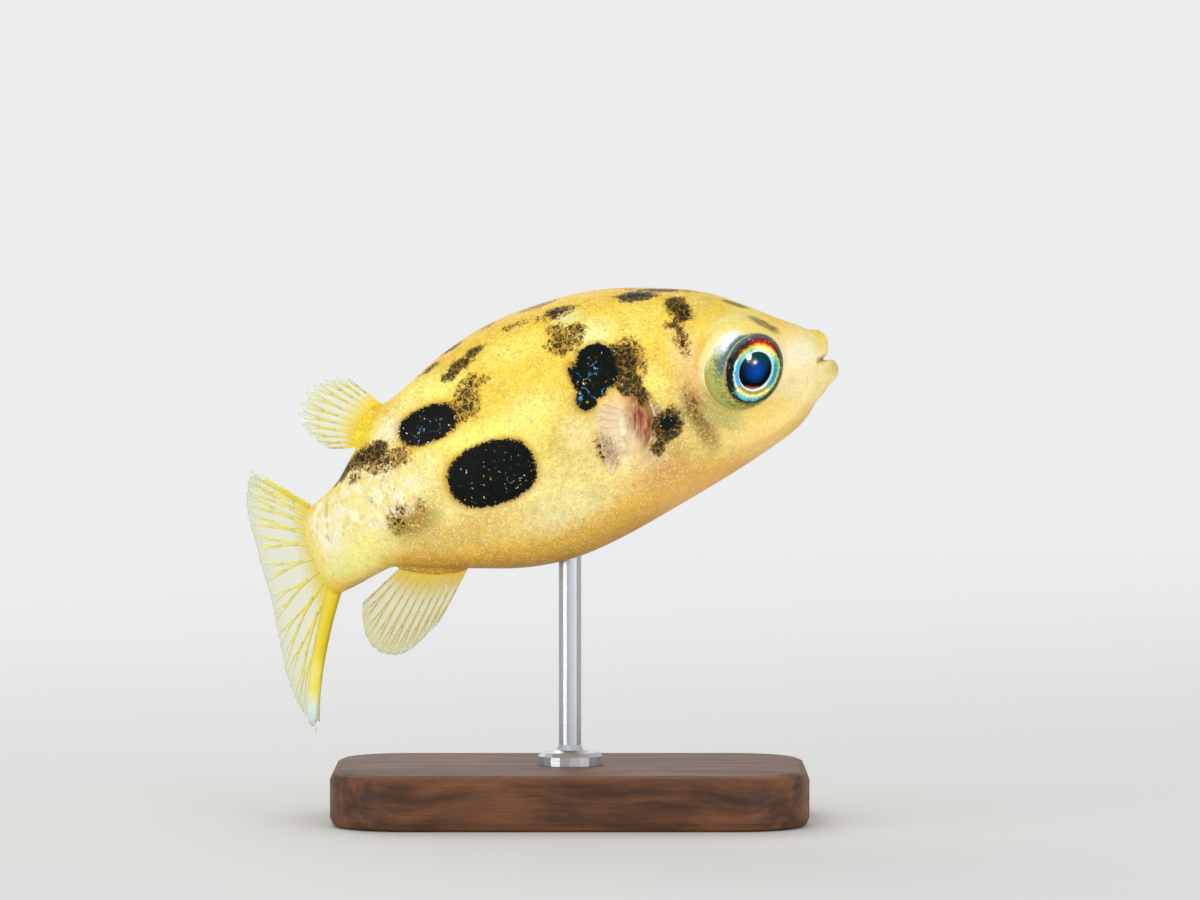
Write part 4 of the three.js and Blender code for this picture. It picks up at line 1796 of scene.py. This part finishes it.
    def build(self) -> bpy.types.Material:
        """Lays every layer, from the glitter of the ground to the black blotches.

        Returns:
            The skin's material.
        """
        r, tones, place, busy = self.r, self.tones, self.place, self.busy
        grain, fine = self.grain, self.fine
        self.lay(busy * self.cells.step(0.5, 0.63) * 0.46, tones.amber)
        self.lay(busy * fine.step(0.54, 0.63) * 0.7, tones.lemon)
        self.add_pearl()
        self.add_gill()
        self.lay(self.depth.step(-0.2, 0.0) * 0.5, tones.halo)
        self.add_pigment(Mark.DAPPLE, 0.45)
        self.add_pigment(Mark.UMBER, 0.31)
        self.lay(busy * r.dots(place, 2.4, 0.13, 0.4) * 0.55, tones.brown)
        self.lay(busy * r.flecks(place, 5.5, 0.17, 0.5) * 0.55, tones.pearl)
        wrinkles = r.cracks(place, 1.0, 0.03) * grain.step(0.46, 0.56)
        self.lay((1 - busy) * wrinkles * 0.5, tones.gold)
        self.add_streak()
        self.add_black()
        shader = r.principled(
            Base_Color=self.colour,
            Roughness=0.36 + 0.16 * grain,
            Specular_IOR_Level=0.08,
            Subsurface_Weight=0.06,
            Subsurface_Radius=(1.0, 0.6, 0.35),
            Subsurface_Scale=0.15 * MM,
            Coat_Weight=(1 - self.depth.step(-0.05, 0.1)) * 0.03,
            Coat_Roughness=0.2,
            Normal=r.bump(0.5 * grain + 0.5 * fine, 0.05, 0.6),
        )
        return r.finish(shader)


@dataclass(frozen=True)
class FinFinish:
    """A fin's clear web and its yellow rays, which turn bluish white at the tips."""

    name: str
    flesh: Colour = srgb(252, 222, 60)
    ray: Colour = srgb(232, 214, 110)
    tip: Colour = srgb(226, 240, 232)
    film: Colour = srgb(226, 224, 172)
    film_alpha: float = 0.26
    base_alpha: float = 0.92
    base_reach: float = 0.34
    ray_alpha: float = 1.0

    def web(self) -> bpy.types.Material:
        """Mixes the web's material: fleshy at the root and clear further out.

        Returns:
            The material.
        """
        r = Recipe(self.name + "_web")
        place = r.millimetres()
        out = r.attribute("out")
        grain = r.noise(place, 2.4, 4, 0.6)
        specks = r.dots(place, 3.2, 0.14, 0.3)
        flesh = 1 - (out + (grain - 0.5) * 0.25).step(0.0, self.base_reach)
        colour = r.mix(flesh, self.film, self.flesh)
        colour = r.mix(specks * 0.7, colour, self.tip)
        clear = self.film_alpha + 0.16 * (grain - 0.5) + 0.2 * out.step(0.8, 1.0)
        alpha = clear + flesh * (self.base_alpha - self.film_alpha) + specks * 0.4
        shader = r.principled(
            Base_Color=colour,
            Roughness=0.25 + 0.2 * grain,
            Alpha=alpha.least(1.0),
            Specular_IOR_Level=0.3,
            Normal=r.bump(grain, 0.02, 0.5),
        )
        return r.finish(shader)

    def rays(self) -> bpy.types.Material:
        """Mixes the rays' material, with a pale tick at each joint.

        Returns:
            The material.
        """
        r = Recipe(self.name + "_rays")
        place = r.millimetres()
        out = r.attribute("out")
        grain = r.noise(place, 4.0, 3, 0.6)
        colour = r.mix(out.step(0.0, self.base_reach), self.flesh, self.ray)
        colour = r.mix((out + (grain - 0.5) * 0.2).step(0.72, 1.0), colour, self.tip)
        phase = r.attribute("tick") * 113.0
        ticks = phase.math("SINE", phase).step(0.55, 0.95)
        colour = r.mix(ticks * 0.35, colour, self.tip)
        shader = r.principled(
            Base_Color=colour,
            Alpha=self.ray_alpha,
            Roughness=0.3 + 0.15 * grain,
            Subsurface_Weight=0.3,
            Subsurface_Radius=(1.0, 0.8, 0.5),
            Subsurface_Scale=0.1 * MM,
            Coat_Weight=0.1,
            Coat_Roughness=0.15,
            Normal=r.bump(ticks, 0.01, 0.4),
        )
        return r.finish(shader)


@dataclass(frozen=True)
class EyeFinish:
    """The globe, the ringed iris and the deep blue pupil under a clear front."""

    pupil: tuple = (
        (0.0, 0, 80, 196),
        (0.4, 0, 62, 150),
        (0.7, 0, 26, 66),
        (0.88, 0, 6, 12),
        (1.0, 0, 1, 3),
    )
    top: tuple = (
        (0.08, 240, 254, 242),
        (0.16, 224, 242, 184),
        (0.28, 246, 242, 136),
        (0.4, 254, 216, 70),
        (0.48, 246, 132, 26),
        (0.56, 214, 56, 20),
        (0.66, 142, 34, 30),
        (0.76, 112, 38, 48),
        (0.87, 92, 62, 74),
        (1.0, 84, 98, 84),
    )
    slant: tuple = (
        (0.08, 180, 236, 236),
        (0.14, 110, 196, 200),
        (0.3, 140, 200, 110),
        (0.4, 196, 196, 60),
        (0.48, 176, 120, 30),
        (0.56, 78, 36, 28),
        (0.66, 50, 30, 38),
        (0.8, 50, 46, 58),
        (0.92, 84, 92, 94),
        (1.0, 70, 84, 76),
    )
    front: tuple = (
        (0.06, 190, 226, 240),
        (0.1, 44, 138, 172),
        (0.26, 34, 140, 156),
        (0.36, 96, 180, 132),
        (0.46, 164, 206, 120),
        (0.56, 156, 170, 78),
        (0.66, 56, 52, 36),
        (0.78, 84, 78, 64),
        (0.9, 112, 104, 84),
        (1.0, 52, 58, 56),
    )
    bottom: tuple = (
        (0.07, 250, 244, 226),
        (0.12, 120, 170, 170),
        (0.22, 150, 120, 40),
        (0.32, 238, 204, 76),
        (0.44, 250, 236, 168),
        (0.54, 196, 190, 84),
        (0.66, 60, 124, 104),
        (0.78, 14, 52, 56),
        (0.88, 28, 30, 26),
        (1.0, 132, 110, 52),
    )
    back: tuple = (
        (0.06, 220, 242, 248),
        (0.1, 60, 168, 216),
        (0.33, 60, 164, 206),
        (0.4, 214, 240, 224),
        (0.48, 130, 160, 130),
        (0.53, 14, 26, 28),
        (0.86, 16, 24, 28),
        (0.93, 46, 42, 34),
        (0.97, 200, 156, 108),
        (1.0, 70, 76, 64),
    )
    # white is a painted highlight on the globe's upper rear; thin_high carries its soft edge
    # towards the skin
    white: Colour = srgb(242, 252, 250)
    slate: Colour = srgb(84, 124, 122)
    cream: Colour = srgb(246, 226, 134)
    thin_high: Colour = srgb(254, 246, 188)
    thin_low: Colour = srgb(184, 170, 92)
    dark: Colour = srgb(48, 58, 54)
    moss: Colour = srgb(158, 148, 60)
    fern: Colour = srgb(84, 100, 52)
    spark: Colour = srgb(253, 250, 176)
    soot: Colour = srgb(16, 20, 26)
    glint: Colour = srgb(250, 253, 255)
    gilt: Colour = srgb(232, 180, 62)
    beige: Colour = srgb(240, 212, 168)
    mint: Colour = srgb(180, 194, 116)
    sea: Colour = srgb(0, 74, 66)
    ember: Colour = srgb(214, 96, 24)
    lagoon: Colour = srgb(84, 206, 222)

    def globe(self) -> bpy.types.Material:
        """Mixes the material of the globe with its iris and pupil.

        Returns:
            The material.
        """
        r = Recipe("eye_globe")
        place = r.millimetres()
        ring, forward, up = r.attribute("ring"), r.attribute("forward"), r.attribute("up")
        grain = r.noise(place, 7.0, 3, 0.6)
        fine = r.noise(place, 16.0, 2, 0.6)
        at = ring + (grain - 0.5) * 0.3 * ring.step(0.12, 0.3)
        turn = (grain - 0.5) * 0.7
        behind = r.ramp(at, self.back)
        # The iris is ringed about an axis that leans forward, of this cosine and sine
        near, far = 0.93, 0.36
        crown, front = near * up + far * forward, near * forward - far * up
        level = r.mix((front + turn).step(-0.25, 0.25), behind, r.ramp(at, self.front))
        iris = r.mix((crown + turn).step(0.3, 0.62), level, r.ramp(at, self.slant))
        iris = r.mix((crown + 0.2 * front + turn).step(0.8, 0.95), iris, r.ramp(at, self.top))
        iris = r.mix((0.0 - crown - turn).step(0.5, 0.85), iris, r.ramp(at, self.bottom))
        corner = (0.4 * turn - 0.98 * crown - 0.2 * front).step(0.82, 0.96)
        corner = corner * ring.step(0.38, 0.5) * (1 - ring.step(0.7, 0.84))
        iris = r.mix(corner * grain.step(0.38, 0.54) * 0.85, iris, self.lagoon)
        iris = r.times(iris, 0.5 + 2.0 * fine)
        inside = ring.step(0.14, 0.2)
        iris = r.mix(r.flecks(place, 7.0, 0.24, 0.4) * inside * 0.6, iris, self.soot)
        iris = r.mix(r.flecks(place, 6.0, 0.24, 0.45) * inside * 0.75, iris, self.spark)
        core = ring + 1.0
        pupil = r.ramp(core * (1 - 0.22 * up), self.pupil)
        pupil = r.mix(crown.step(0.0, 0.8) * core.step(0.3, 0.75) * 0.8, pupil, self.sea)
        pupil = r.mix((0.0 - crown).step(0.86, 0.97) * core.step(0.84, 0.98), pupil, self.ember)
        iris = r.mix((1 - ring.step(0.03, 0.065)) * 0.92, iris, self.glint)
        colour = r.mix(ring.step(-0.01, 0.03), pupil, iris)
        colour = r.mix(ring.step(0.985, 1.02), colour, self.outer(r, ring, front, crown, grain))
        shader = r.principled(
            Base_Color=colour,
            Roughness=0.24 + 0.2 * fine,
            Specular_IOR_Level=0.0,
            Normal=r.bump(fine, 0.02, 0.4),
        )
        return r.finish(shader)

    def outer(self, r: Recipe, ring: Wire, forward: Wire, up: Wire, grain: Wire) -> Wire:
        """Colours the globe outside its iris, with a painted highlight on its upper rear.

        Args:
            r: The material.
            ring: How far out of the iris.
            forward: How far towards the snout round the eye.
            up: How high round the eye.
            grain: Fine noise.

        Returns:
            The colour.
        """
        place = r.millimetres()
        out = ring - 1 + (grain - 0.5) * 0.08
        height = up + (grain - 0.5) * 0.3
        speckle = r.mix(grain.step(0.4, 0.62), self.moss, self.mint)
        speckle = r.mix(r.flecks(place, 5.0, 0.34, 0.6) * 0.75, speckle, self.fern)
        speckle = r.mix(r.flecks(place, 5.5, 0.3, 0.6) * 0.85, speckle, self.spark)
        low = r.mix(out.step(0.14, 0.34), speckle, self.mint)
        middle = r.mix(out.step(0.1, 0.26), self.slate, speckle)
        middle = r.mix(r.flecks(place, 6.2, 0.26, 0.5) * 0.5, middle, self.glint)
        # A painted highlight: white on the upper rear of the globe, fading into cream towards the
        # front
        painted_highlight = r.mix(forward.step(-0.7, -0.3), self.white, self.cream)
        rear = (0.0 - forward).step(0.25, 0.6)
        high = r.mix((out - 0.07 * rear).step(0.0, 0.09), self.slate, painted_highlight)
        colour = r.mix(height.step(-0.4, 0.0), low, middle)
        colour = r.mix(height.step(0.1, 0.6), colour, high)
        # Towards the skin: paler above, partly the painted highlight's soft edge, and duller below
        edge = r.mix(height.step(-0.3, 0.3), self.thin_low, self.thin_high)
        colour = r.mix(out.step(0.26, 0.46), colour, edge)
        behind = (0.2 * up - forward).step(0.2, 0.7)
        line = r.mix(height.step(-0.3, 0.4), self.gilt, self.beige)
        trim = r.mix(behind * out.step(-0.02, 0.03), self.dark, line)
        return r.mix(1 - ring.step(1.0, 1.04), colour, trim)

    def clear_front(self) -> bpy.types.Material:
        """Mixes the clear front, which lets the lamps through to the iris.

        Returns:
            The material.
        """
        r = Recipe("eye_clear")
        glass = r.principled(
            Base_Color=(0.0, 0.0, 0.0),
            Alpha=0.05,
            Roughness=0.05,
            IOR=1.5,
            Specular_IOR_Level=1.0,
        )
        through = r.node("ShaderNodeBsdfTransparent")
        return r.finish(r.blend(r.ray_kind("Is Shadow Ray"), glass, through))


@dataclass
class Eye:
    """One eye: a globe with a sunken iris and a lens, and its clear front."""

    form: FishForm
    shape: EyeForm
    side: Side
    clear_thickness: float = 0.05
    iris_inner: float = 0.76  # radius of the pupil in the profile, before it is made oval
    back_depth: float = 1.0  # the hidden rear of the globe is this deep
    back_steps: int = 60
    profile: tuple = (
        # distance from the eye's axis, distance out from its centre, ring
        (0.0, 1.54, -1.0),
        (0.3, 1.52, -0.6),
        (0.55, 1.45, -0.28),
        (0.68, 1.38, -0.1),
        (0.73, 1.34, -0.02),
        (0.76, 1.38, 0.01),
        (0.79, 1.43, 0.05),
        (0.87, 1.455, 0.15),
        (1.0, 1.45, 0.35),
        (1.15, 1.41, 0.59),
        (1.3, 1.335, 0.83),
        (1.37, 1.285, 0.94),
        (1.41, 1.274, 1.0),
    )

    def globe(self, material: bpy.types.Material) -> bpy.types.Object:
        """Turns the globe with its iris and pupil from a round blank.

        Args:
            material: What it is made of.

        Returns:
            The finished globe.
        """
        piece = ball(96, 112)
        unit = corners_of(piece)
        share = np.arccos(np.clip(unit[:, 2], -1, 1)) / math.pi
        around = np.arctan2(unit[:, 1], unit[:, 0])
        shape = self.shape
        first = math.asin(self.profile[-1][0] / shape.radius)
        turns = np.linspace(first, math.pi, self.back_steps)[1:]
        out = np.where(turns < math.pi / 2, shape.radius, self.back_depth) * np.cos(turns)
        rows = list(self.profile)
        rows += [
            (shape.radius * math.sin(turn), depth, 1 + (turn - first))
            for turn, depth in zip(turns, out)
        ]
        table = np.array(rows)
        steps = np.hypot(np.diff(table[:, 0]), np.diff(table[:, 1]))
        length = np.concatenate([[0], np.cumsum(steps)])
        at = share * length[-1]
        radius, depth, ring = (np.interp(at, length, table[:, k]) for k in range(3))
        # The pupil is an oval, and the iris rounds it off
        oval = 1 - smooth_step(0.85, 1.35, radius)
        wide, tall = (1 + (half / self.iris_inner - 1) * oval for half in shape.pupil)
        forward, up = np.cos(around), np.sin(around)
        axes = shape.frame(self.side)
        local = np.stack([radius * forward * wide, radius * up * tall, depth], axis=1)
        move_corners(piece, shape.centre(self.side) + local @ axes)
        for name, values in (("ring", ring), ("forward", forward), ("up", up)):
            write_attribute(piece, name, values)
        return self.dressed(piece, "eye_globe_", material)

    def clear(self, material: bpy.types.Material) -> bpy.types.Object:
        """Shapes the clear front from a round blank cut in half.

        Args:
            material: What it is made of.

        Returns:
            The finished front.
        """
        piece = ball(64, 48)
        with editing(piece):
            bpy.ops.mesh.bisect(plane_co=(0, 0, 0), plane_no=(0, 0, 1), clear_inner=True)
        unit = corners_of(piece)
        shape = self.shape
        rim = math.sqrt(shape.radius**2 - shape.limbus**2)
        local = unit * np.array([shape.limbus, shape.limbus, shape.front - rim])
        local[:, 2] += rim - 0.02
        move_corners(piece, shape.centre(self.side) + local @ shape.frame(self.side))
        tidy_shell(piece)
        apply_modifier(piece, "SOLIDIFY", thickness=self.clear_thickness, offset=-1)
        return self.dressed(piece, "eye_clear_", material)

    def dressed(
        self, piece: bpy.types.Object, prefix: str, material: bpy.types.Material
    ) -> bpy.types.Object:
        """Names, places and dresses a piece of the eye.

        Args:
            piece: The piece, in the fish's frame.
            prefix: Its name without the side.
            material: What it is made of.

        Returns:
            The finished piece.
        """
        piece.name = prefix + self.side.name.lower()
        tidy_shell(piece)
        piece.data.transform(self.form.matrix())
        dress(piece, material)
        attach(piece, BODY)
        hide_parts("eye_" + self.side.name.lower())
        return piece


# ---- The stand ------------------------------------------------------------------------


@dataclass(frozen=True)
class Stand:
    """The walnut base and steel rod, which are the frame's own solids."""

    dark: Colour = srgb(62, 36, 22)
    light: Colour = srgb(124, 78, 46)
    pore: Colour = srgb(38, 22, 14)
    steel: Colour = srgb(196, 199, 203)
    steel_dark: Colour = srgb(160, 163, 168)

    def walnut(self) -> bpy.types.Material:
        """Mixes oiled walnut with its grain along the base.

        Returns:
            The material.
        """
        r = Recipe("oiled_walnut")
        place = r.millimetres()
        drift = r.shift(place, r.noise_colour(place, 0.12), 3.0)
        figure = r.noise(r.scaled(drift, (0.12, 1, 1)), 0.9, 5, 0.62)
        pores = r.noise(r.scaled(place, (0.25, 6, 6)), 1.3, 4, 0.7)
        colour = r.mix(figure.step(0.3, 0.7), self.dark, self.light)
        colour = r.mix(pores.step(0.56, 0.72) * 0.6, colour, self.pore)
        shader = r.principled(
            Base_Color=colour,
            Roughness=0.46 + 0.2 * pores,
            Specular_IOR_Level=0.3,
            Normal=r.bump(pores, 0.04, 0.5),
        )
        return r.finish(shader)

    def brushed_steel(self) -> bpy.types.Material:
        """Mixes steel brushed round the rod.

        Returns:
            The material.
        """
        r = Recipe("brushed_steel")
        lines = r.noise(r.millimetres((1.5, 1.5, 30)), 1.0, 4, 0.65)
        shader = r.principled(
            Base_Color=r.times(r.mix(lines, self.steel, self.steel_dark), 0.9 + 0.2 * lines),
            Roughness=0.26 + 0.22 * lines,
            Metallic=1.0,
            Normal=r.bump(lines, 0.006, 0.5),
        )
        return r.finish(shader)

    def dress(self, frame: dict) -> None:
        """Gives the two solids their materials.

        Args:
            frame: The loaded model.
        """
        finishes = {"stand_base": self.walnut(), "stand_rod": self.brushed_steel()}
        for name, material in finishes.items():
            node = frame["nodes"][name]
            node.data.materials.clear()
            node.data.materials.append(material)
            LOG.info("dressed %s", name)


# ---- The studio -----------------------------------------------------------------------


@dataclass(frozen=True)
class Studio:
    """The camera, the soft lamps and the pale floor."""

    target: tuple = (1.2, 0.0, 14.8)
    distance: float = 266.7
    elevation: float = math.radians(2)
    lens: float = 200.0
    sensor: float = 36.0
    floor_reach: float = 1.6
    backdrop: Colour = (0.84, 0.85, 0.85)
    floor_colour: Colour = (0.8, 0.8, 0.79)
    floor_shade: Colour = (0.7, 0.7, 0.69)
    ambient: float = 0.66
    lamps: tuple = (
        # name, place in millimetres, watts, width in millimetres
        ("key", (-80, -240, 105), 0.06, 130),
        ("tail", (-190, -150, 30), 0.135, 50),
        ("face", (161, -209, 40), 0.19, 60),
        ("rim", (-60, 190, 170), 0.14, 150),
    )
    sparkles: tuple = (
        ("spark", (150, -213, 75), 16.0, 40),
        ("glint", (209, -168, 4), 2.2, 16),
    )

    def camera(self) -> None:
        """Adds the camera."""
        data = bpy.data.cameras.new("camera")
        data.lens = self.lens
        data.sensor_width = self.sensor
        data.clip_start = 0.005
        data.clip_end = 20
        camera = bpy.data.objects.new("camera", data)
        bpy.context.collection.objects.link(camera)
        away = Vector((0, -math.cos(self.elevation), math.sin(self.elevation))) * self.distance
        camera.location = (Vector(self.target) + away) * MM
        camera.rotation_euler = (math.pi / 2 - self.elevation, 0, 0)
        bpy.context.scene.camera = camera

    def lamp(self, name: str, place: tuple, power: float, size: float) -> bpy.types.Object:
        """Adds a soft square lamp that faces the fish.

        Args:
            name: Its name.
            place: Where it hangs, in millimetres.
            power: Its power in watts.
            size: Its width in millimetres.

        Returns:
            The lamp.
        """
        data = bpy.data.lights.new(name, "AREA")
        data.energy = power
        data.size = size * MM
        lamp = bpy.data.objects.new(name, data)
        bpy.context.collection.objects.link(lamp)
        lamp.location = Vector(place) * MM
        towards = (Vector(self.target) - Vector(place)).to_track_quat("-Z", "Y")
        lamp.rotation_euler = towards.to_euler()
        return lamp

    def sparkle(self, pieces: list[bpy.types.Object]) -> None:
        """Adds the two lamps that are mirrored in the eyes and light nothing else.

        Args:
            pieces: The clear fronts of the eyes.
        """
        wet = bpy.data.collections.new("clear_fronts")
        for piece in pieces:
            wet.objects.link(piece)
        for sparkle in self.sparkles:
            self.lamp(*sparkle).light_linking.receiver_collection = wet

    def world(self) -> None:
        """Sets the even light from all round, and the pale background."""
        r = Recipe("studio", "worlds")
        camera, glossy, through = (
            r.ray_kind(name) for name in ("Is Camera Ray", "Is Glossy Ray", "Is Transmission Ray")
        )
        white = {"Color": (1, 1, 1), "Strength": self.ambient}
        light = r.node("ShaderNodeBackground", {}, white)
        view = r.node("ShaderNodeBackground", {}, {"Color": self.backdrop})
        both = r.blend(camera.most(glossy).most(through), light, view)
        bpy.context.scene.world = r.finish(both, "ShaderNodeOutputWorld")

    def floor(self) -> None:
        """Lays the pale floor, which runs into the background far from the fish."""
        bpy.ops.mesh.primitive_circle_add(vertices=96, radius=self.floor_reach, fill_type="NGON")
        floor = bpy.context.object
        floor.name = "floor"
        r = Recipe("floor")
        place = r.wire("ShaderNodeTexCoord", "Object", {}, {})
        far = r.wire("ShaderNodeVectorMath", 1, {"operation": "LENGTH"}, {0: place})
        grain = r.noise(r.millimetres(), 0.4, 3)
        paint = r.principled(
            Base_Color=r.mix(grain * 0.06, self.floor_colour, self.floor_shade),
            Roughness=0.85,
        )
        glow = r.node("ShaderNodeEmission", {}, {"Color": self.backdrop})
        seen = r.ray_kind("Is Camera Ray").most(r.ray_kind("Is Glossy Ray"))
        fade = far.step(0.03, 0.25) * seen
        floor.data.materials.append(r.finish(r.blend(fade, paint, glow)))

    def build(self) -> None:
        """Sets up the whole studio."""
        self.camera()
        for lamp in self.lamps:
            self.lamp(*lamp)
        self.world()
        self.floor()
        bpy.context.scene.view_settings.view_transform = "Standard"


# ---- The whole model ------------------------------------------------------------------

# The shapes and colours of each kind of fin, where they are not the usual ones
FIN_WEBS = {
    "dorsal_fin": {"notch": 0.16, "overrun": 1.04},
    "anal_fin": {"stem_radius": 0.045, "notch": 0.015, "pleat": 0.02, "first_fork": 0.34},
    "caudal_fin": {
        "stem_radius": 0.1,
        "notch": 0.035,
        "joints": 14,
        "parting": 0.5,
        "overrun": 1.02,
        "rounding": 0.1,
        "first_fork": 0.26,
        "second_fork": 0.58,
        "parted": 0.8,
        "edge_bars": ((0.12, 0.1, 0.06, 1.6), (10.45, 0.15, 0.17, 2.5)),
    },
    "pectoral_fin": {"stem_radius": 0.018, "notch": 0.03, "overrun": 0.9, "rounding": 0.14},
}
FIN_LOOKS = {
    "dorsal_fin": {
        "flesh": srgb(254, 220, 14),
        "ray": srgb(238, 216, 92),
        "film": srgb(228, 232, 176),
        "film_alpha": 0.24,
        "base_reach": 0.46,
    },
    "anal_fin": {
        "flesh": srgb(226, 198, 70),
        "ray": srgb(214, 200, 104),
        "film": srgb(214, 206, 136),
        "film_alpha": 0.34,
        "base_reach": 0.42,
    },
    "caudal_fin": {
        "flesh": srgb(242, 218, 20),
        "ray": srgb(252, 236, 104),
        "film": srgb(232, 234, 178),
        "base_reach": 0.4,
    },
    # Near-white rays and tips: partly the fin's own pale colour, partly painted highlight for the
    # glints along its rays
    "pectoral_fin": {
        "flesh": srgb(252, 226, 192),
        "ray": srgb(252, 230, 200),
        "film": srgb(254, 236, 212),
        "tip": srgb(253, 240, 222),
        "film_alpha": 0.2,
        "base_alpha": 0.3,
        "base_reach": 0.3,
        "ray_alpha": 0.5,
    },
}


def main() -> None:
    """Builds the whole scene round the loaded frame."""
    logging.basicConfig(level=logging.INFO, format="%(name)s: %(message)s")
    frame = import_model()
    bpy.ops.object.select_all(action="DESELECT")
    studio = Studio()
    studio.build()
    form, eye_form = FishForm(), EyeForm()
    fish_fins = fins(form)
    skin = Skin(form, eye_form, fish_fins).build()
    dress(skin, SkinPaint(SkinFinish()).build())
    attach(skin, BODY)
    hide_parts("head", "trunk", "tail", "upper_lip", "lower_lip")
    LOG.info("skin: %d faces", len(skin.data.polygons))
    finish = EyeFinish()
    globe_finish, clear_finish = finish.globe(), finish.clear_front()
    fronts = []
    for side in Side:
        eye = Eye(form, eye_form, side)
        fronts.append(eye.clear(clear_finish))
        LOG.info("eye: %s, %s", eye.globe(globe_finish).name, fronts[-1].name)
    studio.sparkle(fronts)
    for fin in fish_fins:
        kind = "pectoral_fin" if fin.edge is Edge.SIDE else fin.name
        finishes = FinFinish(fin.name, **FIN_LOOKS[kind])
        pieces = FinWeb(fin, **FIN_WEBS[kind]).build(finishes)
        LOG.info("fin: %s", ", ".join(piece.name for piece in pieces))
    Stand().dress(frame)


if __name__ == "__main__":
    main()
